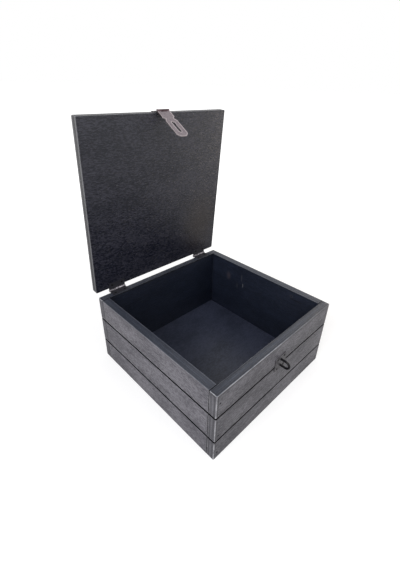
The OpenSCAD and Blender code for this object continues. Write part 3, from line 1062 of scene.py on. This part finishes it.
LID_MARKS = (
    Mark((-125.0, -98.1, 120.1), (1.2, 5.0, 2.2), DARK_KNOCK_AND_SHADE),
    Mark((-82.0, -48.0, 113.8), (26.0, 0.5, 1.0), PALE_SCUFF, 0.7, 0.8),
    Mark((-77.7, -36.3, 113.8), (1.3, 0.9, 1.0), (0.13, 0.13, 0.14), 0.8, 0.7),
    Mark((56.8, -121.7, 113.8), (1.4, 1.1, 1.0), (0.13, 0.13, 0.14), 0.8, 0.7),
    Mark((-19.0, 114.4, 113.8), (1.3, 0.9, 1.0), PALE_SCUFF, 0.8, 0.7),
    # Painted reflection: a warm soft patch on the lower right of the lid's inner face, for warm light
    # mirrored there.
    Mark((86.0, 60.0, 113.8), (60.0, 85.0, 2.0), WARM_PAINTED_REFLECTION, 0.6, 1.0),
)
LENGTHWISE = Matrix.Identity(4)
CROSSWISE = Matrix.Rotation(math.radians(-90), 4, "Z")


@dataclass
class Walls:
    """The four boards of the box, with the grooves sawn round them."""

    width: float = 250.0
    depth: float = 250.0
    height: float = 113.5
    board: float = 12.0
    corner: float = 1.5
    floor_thickness: float = 4.0
    floor_seat: float = 6.0
    groove_width: float = 2.0
    groove_deep: float = 2.0
    groove_drops: tuple[float, float] = (37.4, 79.5)
    arris: float = 0.45
    long_arris: float = 0.7
    lip: float = 0.35
    nail_heights: tuple[float, float, float] = (10.5, 42.5, 98.5)
    nail_seat: float = 1.55
    seat_deep: float = 0.5
    seat_slope: float = 0.35
    seat_spare: float = 0.1
    spare: float = 1.0

    def grooves(self) -> list[Piece]:
        """Returns the rings that are cut out of the boards for the grooves."""
        rings = []
        w, d = self.width / 2, self.depth / 2
        for drop in self.groove_drops:
            low = self.height - drop - self.groove_width / 2
            high = low + self.groove_width
            ring = Bench.block(
                "groove", (-w - self.spare, -d - self.spare, low), (w + self.spare, d + self.spare, high))
            core = Bench.block(
                "groove_core",
                (self.groove_deep - w, self.groove_deep - d, low - self.spare),
                (w - self.groove_deep, d - self.groove_deep, high + self.spare),
            )
            Bench.carve(ring, [core])
            rings.append(ring)
        return rings

    def rabbet(self) -> Piece:
        """Returns the block that is cut out of the boards for the floor."""
        w = self.width / 2 - self.board + self.floor_seat
        d = self.depth / 2 - self.board + self.floor_seat
        return Bench.block("rabbet", (-w, -d, -self.spare), (w, d, self.floor_thickness))

    def in_groove(self, point: Vector) -> bool:
        """Says whether a point lies in a groove."""
        half = self.groove_width / 2 + self.lip + HAIR
        return any(abs(point.z - self.height + drop) <= half for drop in self.groove_drops)

    def ease_lips(self, piece: Piece) -> None:
        """Rounds the edges where the saw went in along each groove."""
        half = self.groove_width / 2
        low = self.lip + 0.1

        def is_lip(middle: Vector, run: Vector) -> bool:
            """Tells an edge on the outer face and at the brim of a groove."""
            away = [abs(middle.z - self.height + drop) for drop in self.groove_drops]
            brim = any(abs(gap - half) < HAIR for gap in away)
            outside = abs(middle.x) > self.width / 2 - low or abs(middle.y) > self.depth / 2 - low
            return brim and outside and abs(run.z) < 0.1

        Bench.round_edges(piece, is_lip, self.lip, 2)

    def zone(self, plan: Board, point: Vector, normal: Vector) -> Zone:
        """Zone of a face of one of the box's boards.

        Args:
            plan: The board's plan.
            point: The face's middle.
            normal: The face's normal.

        Returns:
            The zone: the arris beside a joint is as dark as a groove.
        """
        joint = self.depth / 2 - self.board
        slanted = max(abs(value) for value in normal) < 0.95
        # Groove faces and lips get the painted groove shade; arrises at the joints get it as joint stain.
        if self.in_groove(point) or (slanted and abs(abs(point.y) - joint) < self.long_arris):
            return Zone.GROOVE
        if slanted and abs(normal.z) < 0.3:
            return Zone.OUTER
        if plan.turn is LENGTHWISE and abs(normal.x) > ALONG:
            return Zone.END
        return plan.facing(normal)

    def nail_seats(self, wall: int) -> list[Piece]:
        """Returns the dimples round the nail heads.

        Args:
            wall: -1 at the front and 1 at the back.

        Returns:
            The solids to cut away.
        """
        face = wall * self.depth / 2
        seats = []
        for side in Side:
            x = side.value * (self.width - self.board) / 2
            for z in self.nail_heights:
                seats.append(Bench.rod(
                    "nail_seat", (x, face + wall * self.seat_spare, z), (x, face - wall * self.seat_deep, z),
                    self.nail_seat, self.nail_seat - self.seat_slope, 20,
                ))
        return seats

    def long_board(self, name: str, wall: int, seed: float) -> tuple[Board, Piece]:
        """Models the front or the back board.

        Args:
            name: The piece's name.
            wall: -1 at the front and 1 at the back.
            seed: Shift of the grain.

        Returns:
            The board's plan and its piece, still in millimetres.
        """
        w, d = self.width / 2, self.depth / 2
        faces = sorted((wall * d, wall * (d - self.board)))
        plan = Board(
            name, (-w, faces[0], 0.0), (w, faces[1], self.height), Vector((0, wall, 0)), LENGTHWISE,
            seed, 1.0, FRONT_MARKS if wall < 0 else (),
        )
        piece = Bench.block(name, plan.low, plan.high)
        Bench.round_edges(
            piece, lambda p, run: abs(run.z) > ALONG and p.y * wall > d - 1, self.corner, CORNER_STEPS)
        Bench.soften(piece, self.long_arris)
        Bench.carve(piece, [*self.grooves(), self.rabbet()])
        self.ease_lips(piece)
        Bench.carve(piece, self.nail_seats(wall))
        return plan, piece

    def side_board(self, name: str, side: Side, seed: float) -> tuple[Board, Piece]:
        """Models the left or the right board.

        Args:
            name: The piece's name.
            side: Which side it stands on.
            seed: Shift of the grain.

        Returns:
            The board's plan and its piece, still in millimetres.
        """
        w, d = self.width / 2, self.depth / 2 - self.board
        faces = sorted((side.value * w, side.value * (w - self.board)))
        plan = Board(
            name, (faces[0], -d, 0.0), (faces[1], d, self.height), Vector((side.value, 0, 0)), CROSSWISE,
            seed, 0.3, RIGHT_MARKS if side is Side.RIGHT else (),
        )
        piece = Bench.block(name, plan.low, plan.high)
        Bench.soften(piece, self.arris)
        Bench.carve(piece, [*self.grooves(), self.rabbet()])
        self.ease_lips(piece)
        return plan, piece

    def dress(self, plan: Board, piece: Piece, node: str) -> None:
        """Paints a board, puts it in place and hands it over.

        Args:
            plan: The board's plan.
            piece: Its piece, in millimetres.
            node: The node that it stands for.
        """
        seams = tuple(self.height - drop for drop in self.groove_drops)
        outer, end = replace(OUTER_STAIN, seams=seams), replace(END_STAIN, seams=seams)
        # The inner faces take a darker copy of the outer stain as painted shade.
        kinds = (outer, INNER_SHADED_STAIN, EDGE_STAIN, GROOVE_SHADE_AND_JOINT_STAIN, end)
        materials = [kind.make(plan, STILL) for kind in kinds]
        paint_zones(piece, materials, lambda p, n: self.zone(plan, p, n).value)
        Bench.settle(piece, STILL)
        hand_over(piece, "box", "wall_wood", node)

    def build(self, hinges: "Hinges") -> None:
        """Builds and dresses the four boards.

        Args:
            hinges: The hinges, whose leaves are let into the back board.
        """
        plan, piece = self.long_board("front_board", -1, 3.0)
        self.dress(plan, piece, "front_wall")
        plan, piece = self.long_board("back_board", 1, 41.0)
        Bench.carve(piece, hinges.recesses(STILL))
        self.dress(plan, piece, "back_wall")
        plan, piece = self.side_board("left_board", Side.LEFT, 87.0)
        self.dress(plan, piece, "left_wall")
        plan, piece = self.side_board("right_board", Side.RIGHT, 133.0)
        self.dress(plan, piece, "right_wall")


@dataclass
class Lid:
    """The lid panel, which stands open."""

    width: float = 250.0
    depth: float = 250.0
    thickness: float = 11.0
    underside: float = 113.8
    corner: float = 1.5
    arris: float = 0.6

    def build(self, hinges: "Hinges") -> None:
        """Builds and dresses the lid.

        Args:
            hinges: The hinges, whose leaves are let into the lid.
        """
        w, d = self.width / 2, self.depth / 2
        plan = Board(
            "lid_board", (-w, -d, self.underside), (w, d, self.underside + self.thickness),
            Vector((0, 0, 1)), LENGTHWISE, 211.0, 0.4, LID_MARKS,
        )
        piece = Bench.block(plan.name, plan.low, plan.high)
        Bench.round_edges(piece, lambda p, run: abs(run.z) > ALONG, self.corner, CORNER_STEPS)
        Bench.soften(piece, self.arris, 3)
        Bench.carve(piece, hinges.recesses(hinges.lid_turn))
        # The top takes the outer stain, and the inner face a darker copy of it as painted shade.
        kinds = (OUTER_STAIN, LID_INNER_SHADED_STAIN, LID_EDGE_STAIN)
        materials = [kind.make(plan, hinges.lid_pose) for kind in kinds]
        paint_zones(piece, materials, lambda p, n: plan.facing(n).value)
        Bench.settle(piece, hinges.lid_pose)
        hand_over(piece, "lid", "lid_wood", "lid_panel")


@dataclass
class Hinges:
    """Two butt hinges, each drawn round its pin with the pin along X."""

    pin_y: float = 129.8
    pin_z: float = 113.65
    pin_x: float = 89.5
    lid_open: float = 86.0
    length: float = 28.0
    back: float = 4.8
    reach: float = 8.5
    leaf: float = 1.0
    lid_gap: float = 0.3
    knuckle: float = 4.4
    pin: float = 2.2
    pin_end: float = 0.3
    count: int = 5
    knuckle_gap: float = 0.2
    turn_gap: float = 0.3
    pin_gap: float = 0.05
    recess_gap: float = 0.2
    screw_gap: float = 17.0
    ease: float = 0.14
    leaf_corner: float = 1.2
    lid_turn: Matrix = field(default_factory=lambda: Matrix.Rotation(math.pi, 4, "Y"))

    @property
    def lid_pose(self) -> Matrix:
        """Turn of the lid about the pins, from shut to open."""
        pin = Matrix.Translation((0, self.pin_y, self.pin_z))
        return pin @ Matrix.Rotation(math.radians(-self.lid_open), 4, "X") @ pin.inverted()

    def at(self, side: Side) -> Matrix:
        """Place of the middle of a hinge's pin, with the lid shut."""
        return Matrix.Translation((side.value * self.pin_x, self.pin_y, self.pin_z))

    def recesses(self, turn: Matrix) -> list[Piece]:
        """Returns the solids that make room for the leaves.

        Args:
            turn: Turn from how they lie on the box: none, or the one that lays them in the lid.

        Returns:
            The solids to cut away, with the lid shut.
        """
        made = []
        half = self.length / 2 + self.recess_gap
        far = -self.back - self.reach - self.recess_gap
        for side in Side:
            block = Bench.block("recess", (-half, far, -self.lid_gap / 2 - self.leaf), (half, 1.0, 1.0))
            Bench.place(block, self.at(side) @ turn)
            made.append(block)
        return made

    def roll(self, start: float, end: float) -> Piece:
        """Models a knuckle from start to end along the pin, as a rolled strip with an open seam."""
        return rolled_knuckle(start, end, self.knuckle / 2, self.pin / 2 + self.pin_gap, 190.0, 332.0)

    def leaf_piece(self, name: str, first: int) -> Piece:
        """Models a leaf as it lies on the box.

        Args:
            name: The piece's name.
            first: Number of its first knuckle; it has every second one.

        Returns:
            The leaf, in millimetres.
        """
        top = -self.lid_gap / 2
        half = self.length / 2
        near = -self.knuckle / 2 - self.turn_gap
        far = -self.back - self.reach
        piece = Bench.block(name, (-half, far, top - self.leaf), (half, near, top))
        Bench.round_edges(
            piece, lambda p, run: abs(run.z) > ALONG and p.y < far + 0.1, self.leaf_corner, CORNER_STEPS)
        pitch = self.length / self.count
        for number in range(first, self.count, 2):
            start = number * pitch - half + self.knuckle_gap / 2
            end = start + pitch - self.knuckle_gap
            tongue = Bench.block("tongue", (start, near - 0.5, top - self.leaf), (end, -1.5, top))
            Bench.carve(piece, [tongue, self.roll(start, end)], "UNION")
        places = [
            Matrix.Translation((side.value * self.screw_gap / 2, far + self.reach / 2, top)) for side in Side
        ]
        Bench.carve(piece, countersinks(places, Vector((0, 0, -1)), self.leaf, 0.05))
        Bench.soften(piece, self.ease, 2, FOLD_ANGLE)
        return piece

    def build(self) -> None:
        """Builds and dresses both hinges and their screws."""
        for side in Side:
            label = side.name.lower()
            box_pose = self.at(side)
            lid_pose = self.lid_pose @ (box_pose @ self.lid_turn)
            for body, first, pose in (("box", 0, box_pose), ("lid", 1, lid_pose)):
                piece = self.leaf_piece(f"hinge_{label}_{body}_half", first)
                deliver(
                    piece, piece.name, (HINGE_BLACK, HINGE_STEEL), pose,
                    (body, "hinge_metal", f"hinge_{label}_{body}_leaf"),
                    lambda p, n: int(Vector((p.y, p.z)).length < self.knuckle / 2 + 0.05),
                )
            self.build_pin(side)
        for node in ("hinge_box_screws", "hinge_lid_screws"):
            dress_node(node, SCREW_BLACK.make(node, STILL))

    def build_pin(self, side: Side) -> None:
        """Builds and dresses one hinge pin, with its ends hammered round.

        Args:
            side: Which hinge it belongs to.
        """
        half = self.length / 2
        name = f"hinge_{side.name.lower()}_pin"
        end = half + self.pin_end
        piece = Bench.rod(f"{name}_rod", (-end, 0, 0), (end, 0, 0), self.pin / 2, sides=24)
        Bench.round_edges(piece, lambda p, run: abs(p.x) > half, 0.35, 3)
        deliver(piece, name, (PIN_STEEL,), self.at(side), ("box", "pin_steel", name))


def rolled_knuckle(start: float, end: float, outer: float, inner: float, from_angle: float,
                   sweep: float) -> Piece:
    """Rolls a strip round the X axis by spinning its section.

    Args:
        start: Where the knuckle begins along X.
        end: Where it ends along X.
        outer: Outer radius.
        inner: Inner radius.
        from_angle: Angle of the strip's first edge about X, from +Y, in degrees.
        sweep: Angle that the strip goes round, in degrees.

    Returns:
        The knuckle.
    """
    Bench.clear()
    bpy.ops.mesh.primitive_plane_add(size=1)
    piece = Bench.named("knuckle")
    middle = Matrix.Translation(((start + end) / 2, (outer + inner) / 2, 0))
    section = middle @ Matrix.Diagonal((end - start, outer - inner, 1, 1))
    Bench.place(piece, Matrix.Rotation(math.radians(from_angle), 4, "X") @ section)
    bpy.ops.object.mode_set(mode="EDIT")
    bpy.ops.mesh.select_all(action="SELECT")
    Bench.swing(sweep, (0, 0, 0), 30)
    Bench.weld(piece)
    return piece


@dataclass(frozen=True)
class Screw:
    """Countersunk wood screw along -Z, with its rim at the origin and a cross in its head."""

    length: float = 8.5
    shank: float = 1.8
    head: float = 3.8
    plate: float = 1.0
    point: float = 2.5
    tip: float = 0.25
    dome: float = 0.35
    cross: float = 2.3
    cross_width: float = 0.5
    cross_deep: float = 0.45
    dome_steps: int = 4

    def model(self) -> Piece:
        """Turns the screw and cuts the cross.

        Returns:
            The screw, in millimetres.
        """
        profile = [
            (0.0, 0.0, -self.length), (self.tip, 0.0, -self.length),
            (self.shank / 2, 0.0, self.point - self.length), (self.shank / 2, 0.0, -self.plate),
            (self.head / 2, 0.0, -0.1), (self.head / 2, 0.0, 0.0),
        ]
        for step in range(1, self.dome_steps + 1):
            angle = math.pi / 2 * step / self.dome_steps
            profile.append((self.head / 2 * math.cos(angle), 0.0, self.dome * math.sin(angle)))
        piece = Bench.turned("screw", profile, 28)
        low = self.dome - self.cross_deep
        half, arm = self.cross_width / 2, self.cross / 2
        Bench.carve(piece, [
            Bench.block("cross", (-arm, -half, low), (arm, half, 1.0)),
            Bench.block("cross", (-half, -arm, low), (half, arm, 1.0)),
        ])
        return piece

    def row(self, name: str, places: Sequence[Matrix]) -> Piece:
        """Puts a screw in each place and joins them.

        Args:
            name: Name of the joined piece.
            places: Where the screws go.

        Returns:
            The screws, in millimetres.
        """
        first = self.model()
        copies = [Bench.copied(first, place) for place in places]
        bpy.data.objects.remove(first)
        return Bench.joined(name, copies)


@dataclass
class Hasp:
    """The hasp on the lid's front edge, drawn round its pin with the strap hanging down."""

    hinges: Hinges
    pin_y: float = -127.6
    pin_z: float = 114.3
    swing: float = 28.5
    out: float = 2.6
    leaf: float = 1.0
    leaf_half: float = 13.0
    leaf_low: float = 2.0
    leaf_top: float = 9.5
    knuckle: float = 1.7
    knuckle_half: float = 4.0
    knuckle_gap: float = 0.2
    pin: float = 0.8
    pin_gap: float = 0.05
    pin_head: float = 1.2
    pin_head_thick: float = 0.5
    screw_x: float = 8.75
    strap: float = 1.2
    strap_half: float = 10.3
    shoulder: float = 13.6
    neck: tuple[float, float] = (6.7, 17.4)
    wide: tuple[float, float] = (9.8, 21.5)
    clip: float = 47.5
    tip: tuple[float, float] = (4.85, 52.2)
    slot_half: float = 2.2
    slot_ends: tuple[float, float] = (23.3, 44.3)
    barrel_shade: float = 5.2
    rim: float = 0.9
    rim_step: float = 0.2
    rim_deep: float = 0.16
    ease: float = 0.12
    leaf_corner: float = 0.9

    @property
    def pose(self) -> Matrix:
        """Where the hasp's pin is, with the lid open."""
        return self.hinges.lid_pose @ Matrix.Translation((0, self.pin_y, self.pin_z))

    def leaf_piece(self) -> Piece:
        """Models the leaf that is screwed to the lid, with its rolled knuckle."""
        back = self.out - self.leaf
        w, k = self.leaf_half, self.knuckle_half
        piece = Bench.block("hasp_leaf_plate", (-w, back, self.leaf_low), (w, self.out, self.leaf_top))
        Bench.round_edges(piece, lambda p, run: abs(run.y) > ALONG, self.leaf_corner, CORNER_STEPS)
        Bench.carve(piece, [
            Bench.block("up_leg", (-k, back, self.knuckle - self.leaf), (k, self.out, self.leaf_low + 0.5)),
            Bench.block("tongue", (-k, 0.0, self.knuckle - self.leaf), (k, self.out, self.knuckle)),
            rolled_knuckle(-k, k, self.knuckle, self.pin + self.pin_gap, 80.0, 296.0),
        ], "UNION")
        Bench.carve(piece, [
            Bench.rod("bore", (-2 * k, 0, 0), (2 * k, 0, 0), self.pin + self.pin_gap),
            *countersinks(self.screw_places(), Vector((0, 1, 0)), self.leaf),
        ])
        Bench.soften(piece, self.ease, 2, FOLD_ANGLE)
        return piece

    def screw_places(self) -> list[Matrix]:
        """Places of the two screws."""
        height = (self.leaf_low + self.leaf_top) / 2
        return [
            Matrix.Translation((side.value * self.screw_x, self.out - self.leaf, height)) @ INWARD
            for side in Side
        ]

    def strap_outline(self) -> list[Point]:
        """Outline of the strap on its front face, from the top right round to the top left."""
        right = [
            (self.strap_half, 0.0), (self.strap_half, -self.shoulder),
            (self.neck[0], -self.neck[1]), (self.wide[0], -self.wide[1]),
            (self.wide[0], -self.clip), (self.tip[0], -self.tip[1]),
        ]
        both = right + [(-x, z) for x, z in reversed(right)]
        return [(x, -self.strap / 2, z) for x, z in both]

    def strap_piece(self) -> Piece:
        """Models the strap, with a slot, a raised rim and two rolled knuckles."""
        piece = Bench.sheet("hasp_strap_plate", self.strap_outline(), (0.0, self.strap, 0.0))
        inner = self.knuckle_half + self.knuckle_gap
        low, high = -self.slot_ends[1] + self.slot_half, -self.slot_ends[0] - self.slot_half
        Bench.carve(piece, [
            Bench.block("notch", (-inner, -2.0, -self.knuckle - 0.3), (inner, 2.0, 1.0)),
            Bench.block("slot", (-self.slot_half, -2.0, low), (self.slot_half, 2.0, high)),
            Bench.rod("slot_end", (0, -2.0, low), (0, 2.0, low), self.slot_half),
            Bench.rod("slot_end", (0, -2.0, high), (0, 2.0, high), self.slot_half),
        ])
        Bench.pick(piece, Element.FACE, lambda p, n: n.y < -ALONG)
        for wide, deep in ((self.rim, 0.0), (self.rim_step, -self.rim_deep)):
            bpy.ops.mesh.inset(thickness=wide, depth=deep, use_boundary=True, use_even_offset=True)
        Bench.clear()
        for side in Side:
            ends = sorted((side.value * inner, side.value * self.strap_half))
            knuckle = rolled_knuckle(*ends, self.knuckle, self.pin + self.pin_gap, -44.0, 338.0)
            Bench.carve(piece, [knuckle], "UNION")
        Bench.carve(piece, [
            Bench.rod("bore", (-self.leaf_half, 0, 0), (self.leaf_half, 0, 0), self.pin + self.pin_gap)
        ])
        Bench.soften(piece, self.ease, 2, FOLD_ANGLE)
        return piece

    def strap_slot(self, point: Vector, normal: Vector) -> int:
        """Number of the finish of one of the strap's faces.

        Args:
            point: The face's middle.
            normal: The face's normal.

        Returns:
            0 within the raised rim and at the back, 1 on the rim and the edges, 2 on the knuckles and on a
            band of strap below them, painted dark as the barrel's shadow.
        """
        # Painted shadow: the strap just below the knuckles takes the dark barrel finish.
        if point.z > -self.barrel_shade:
            return 2
        sunk = -self.strap / 2 + self.rim_deep / 2
        return 0 if point.y > sunk and abs(normal.y) > ALONG else 1

    def pin_piece(self) -> Piece:
        """Models the pin with its two round heads."""
        reach = self.strap_half + self.knuckle_gap
        end = reach + self.pin_head_thick
        piece = Bench.rod("hasp_pin_rod", (-reach, 0, 0), (reach, 0, 0), self.pin, sides=24)
        heads = []
        for side in Side:
            x = side.value
            head = Bench.rod("head", (x * reach, 0, 0), (x * end, 0, 0), self.pin_head, sides=24)
            Bench.round_edges(head, lambda p, run, x=x: x * p.x > end - 0.1, 0.3, 3)
            heads.append(head)
        Bench.carve(piece, heads, "UNION")
        return piece

    def build(self) -> None:
        """Builds and dresses the hasp."""
        strap_pose = self.pose @ Matrix.Rotation(math.radians(self.swing), 4, "X")
        deliver(
            self.leaf_piece(), "hasp_leaf", (LEAF_STEEL, BARREL_SHADE_AND_GLINTS), self.pose,
            ("lid", "hasp_metal", "hasp_leaf"), lambda p, n: int(p.z < self.leaf_low),
        )
        deliver(
            self.strap_piece(), "hasp_strap", (STRAP_STEEL, RUBBED_STEEL, BARREL_SHADE_AND_GLINTS), strap_pose,
            ("hasp_strap", "hasp_metal", "hasp_strap"), self.strap_slot,
        )
        deliver(
            self.pin_piece(), "hasp_pin", (PIN_STEEL,), self.pose, ("hasp_pin", "pin_steel", "hasp_pin"))
        screws = Screw(plate=self.leaf).row("hasp_leaf_screws", self.screw_places())
        deliver(screws, "hasp_screws", (SCREW_BLACK,), self.pose, ("lid", "screw_metal", "hasp_screws"))


@dataclass
class Staple:
    """The staple on the front board, drawn in place."""

    wall_y: float = -125.0
    middle: float = 79.0
    half_width: float = 12.5
    half_height: float = 12.0
    plate: float = 1.0
    clip: float = 2.5
    wire: float = 1.6
    wire_gap: float = 0.1
    leg: float = 9.0
    bend: float = 5.2
    screw_x: float = 7.3
    screw_z: float = 8.1
    ease: float = 0.2

    def screw_places(self) -> list[Matrix]:
        """Places of the four screws."""
        y = self.wall_y - self.plate
        return [
            Matrix.Translation((side.value * self.screw_x, y, self.middle + level * self.screw_z)) @ INWARD
            for side in Side for level in (-1, 1)
        ]

    def plate_piece(self) -> Piece:
        """Models the plate, with clipped corners, countersunk holes and holes for the legs."""
        w, h, c = self.half_width, self.half_height, self.clip
        corners = [
            (w - c, h), (c - w, h), (-w, h - c), (-w, c - h),
            (c - w, -h), (w - c, -h), (w, c - h), (w, h - c),
        ]
        piece = Bench.sheet(
            "staple_base", [(x, self.wall_y, self.middle + z) for x, z in corners], (0.0, -self.plate, 0.0))
        front = self.wall_y - self.plate
        Bench.carve(piece, [
            *countersinks(self.screw_places(), Vector((0, 1, 0)), self.plate),
            *(
                Bench.rod(
                    "leg_hole", (0, front - 1, self.middle + side.value * self.bend),
                    (0, self.wall_y + 1, self.middle + side.value * self.bend), self.wire + self.wire_gap,
                )
                for side in Side
            ),
        ])
        Bench.soften(piece, self.ease, 3, FOLD_ANGLE)
        return piece

    def loop_piece(self) -> Piece:
        """Bends the loop from a round wire."""
        Bench.clear()
        bpy.ops.mesh.primitive_circle_add(
            vertices=24, radius=self.wire, fill_type="NGON",
            location=(0, self.wall_y, self.middle + self.bend), rotation=(math.pi / 2, 0, 0),
        )
        piece = Bench.named("staple_wire")
        bpy.ops.object.mode_set(mode="EDIT")
        bpy.ops.mesh.select_all(action="SELECT")
        bpy.ops.mesh.extrude_region_move(TRANSFORM_OT_translate={"value": (0, -self.leg, 0)})
        Bench.swing(180.0, (0, self.wall_y - self.leg, self.middle), 24)
        bpy.ops.mesh.extrude_region_move(TRANSFORM_OT_translate={"value": (0, self.leg, 0)})
        Bench.weld(piece)
        return piece

    def build(self) -> None:
        """Builds and dresses the staple."""
        plate = self.plate_piece()
        loop = self.loop_piece()
        screws = Screw(plate=self.plate).row("staple_fixings", self.screw_places())
        parts = (
            (plate, PLATE_STEEL, "staple_metal", "staple_plate"),
            (loop, WIRE_BLACK, "loop_metal", "staple_loop"),
            (screws, SCREW_BLACK, "screw_metal", "staple_screws"),
        )
        for piece, finish, slot, node in parts:
            deliver(piece, node, (finish,), STILL, ("box", slot, node))


@dataclass(frozen=True)
class Lamp:
    """A soft square lamp, in metres and watts."""

    name: str
    place: Point
    size: float
    power: float
    colour: Colour

    def hang(self, aim: Point) -> None:
        """Adds the lamp to the scene, facing a point.

        Args:
            aim: The point.
        """
        data = bpy.data.lights.new(self.name, "AREA")
        data.size = self.size
        data.energy = self.power
        data.color = self.colour
        lamp = bpy.data.objects.new(self.name, data)
        bpy.context.scene.collection.objects.link(lamp)
        lamp.location = self.place
        sight = Vector(aim) - Vector(self.place)
        lamp.rotation_euler = sight.to_track_quat("-Z", "Y").to_euler()


LAMPS = (
    Lamp("key", (0.6, -1.5, 1.2), 1.2, 8.0, (1.0, 0.99, 0.98)),
    Lamp("fill", (-1.6, -0.3, 0.9), 1.4, 30.0, (0.98, 0.98, 1.0)),
    Lamp("top", (0.1, -0.1, 1.8), 1.2, 4.0, (0.98, 0.99, 1.0)),
    Lamp("side", (1.0, -0.05, 0.2), 0.4, 2.4, (1.0, 0.84, 0.7)),
)


@dataclass
class Studio:
    """Floor, white surroundings, soft lamps and the camera of the photograph."""

    focal: float = 330.364
    image: tuple[int, int] = (400, 570)
    centre: tuple[float, float] = (207.652, 264.346)
    azimuth: float = -45.776
    elevation: float = 28.781
    roll: float = 1.936
    eye: Point = (-306.779, -281.23, 405.224)
    sensor: float = 36.0
    floor_size: float = 60.0
    floor_grey: float = 0.62
    world_dim: float = 0.42
    seen_glow: tuple[float, ...] = (0.25, 0.8, 0.5, 1.0)
    mirrored_glow: tuple[float, ...] = (0.5, 1.5, 0.0, 1.0)
    aim: Point = (0.0, 0.0, 0.12)

    def build_camera(self) -> None:
        """Sets the camera up where the photograph was taken."""
        long_side = max(self.image)
        data = bpy.data.cameras.new("view")
        data.sensor_fit = "AUTO"
        data.sensor_width = self.sensor
        data.lens = self.focal * self.sensor / long_side
        data.shift_x = (self.image[0] / 2 - self.centre[0]) / long_side
        data.shift_y = (self.centre[1] - self.image[1] / 2) / long_side
        data.clip_start = 0.01
        camera = bpy.data.objects.new("view", data)
        bpy.context.scene.collection.objects.link(camera)
        a, e = math.radians(self.azimuth), math.radians(self.elevation)
        back = Vector((math.sin(a) * math.cos(e), -math.cos(a) * math.cos(e), math.sin(e)))
        right = Vector((0, 0, 1)).cross(back).normalized()
        up = back.cross(right)
        turn = Matrix((right, up, back)).transposed().to_4x4()
        where = Matrix.Translation(Vector(self.eye) / MM_PER_METRE)
        camera.matrix_world = where @ turn @ Matrix.Rotation(math.radians(self.roll), 4, "Z")
        bpy.context.scene.camera = camera

    def build_floor(self) -> None:
        """Lays a pale floor that shows white where no shadow falls."""
        Bench.clear()
        bpy.ops.mesh.primitive_plane_add(size=self.floor_size)
        floor = Bench.named("studio_floor")
        material, w, shader = new_material("studio_floor")
        w.tree.nodes.remove(shader)
        diffuse = w.node("ShaderNodeBsdfDiffuse", (self.floor_grey,) * 3)
        away = w.length(w.node("ShaderNodeTexCoord").outputs["Object"])
        rays = w.node("ShaderNodeLightPath").outputs
        seen = w.maths("MULTIPLY", rays["Is Camera Ray"], w.remap(away, *self.seen_glow))
        mirrored = w.maths("MULTIPLY", rays["Is Glossy Ray"], w.remap(away, *self.mirrored_glow))
        glow = w.node("ShaderNodeEmission")
        w.fill(glow, Strength=w.maths("ADD", seen, mirrored))
        both = w.node("ShaderNodeAddShader", diffuse.outputs[0], glow.outputs[0])
        w.fill(w.tree.nodes["Material Output"], Surface=both.outputs[0])
        floor.data.materials.append(material)

    def build_world(self) -> None:
        """Surrounds the case with dim grey, seen as white."""
        world = bpy.data.worlds.new("studio")
        bpy.context.scene.world = world
        world.use_nodes = True
        w = Wiring(world.node_tree)
        dim = w.tree.nodes["Background"]
        w.fill(dim, Color=WHITE, Strength=self.world_dim)
        white = w.node("ShaderNodeBackground", WHITE, 1.0)
        rays = w.node("ShaderNodeLightPath").outputs
        seen = w.maths("MAXIMUM", rays["Is Camera Ray"], rays["Is Glossy Ray"])
        seen = w.maths("MAXIMUM", seen, rays["Is Transmission Ray"])
        pick = w.node("ShaderNodeMixShader", seen, dim.outputs[0], white.outputs[0])
        w.fill(w.tree.nodes["World Output"], Surface=pick.outputs[0])

    def build(self) -> None:
        """Builds the whole studio."""
        bpy.context.scene.view_settings.view_transform = "Standard"
        self.build_floor()
        self.build_world()
        self.build_camera()
        for lamp in LAMPS:
            lamp.hang(self.aim)


def dress_kept_nodes(walls: Walls) -> None:
    """Finishes the nodes whose shape stays.

    Args:
        walls: The boards that they hold together.
    """
    half_w = walls.width / 2 - walls.board + walls.floor_seat
    half_d = walls.depth / 2 - walls.board + walls.floor_seat
    panel = Board(
        "floor_panel", (-half_w, -half_d, 0.0), (half_w, half_d, walls.floor_thickness),
        Vector((0, 0, 1)), LENGTHWISE, 17.0,
    )
    dress_node("floor_panel", FLOOR_STAIN.make(panel, STILL))
    finishes = {"front_nails": NAIL_BLACK, "back_nails": NAIL_BLACK, "floor_brads": BRAD_STEEL}
    for node, finish in finishes.items():
        dress_node(node, finish.make(node, STILL))


def main() -> None:
    """Builds the case's pieces and the studio, in order."""
    logging.basicConfig(level=logging.INFO, format="%(name)s: %(message)s")
    hinges = Hinges()
    Studio().build()
    walls = Walls()
    walls.build(hinges)
    Lid().build(hinges)
    hinges.build()
    Hasp(hinges).build()
    Staple().build()
    dress_kept_nodes(walls)
    Bench.clear()


if __name__ == "__main__":
    main()
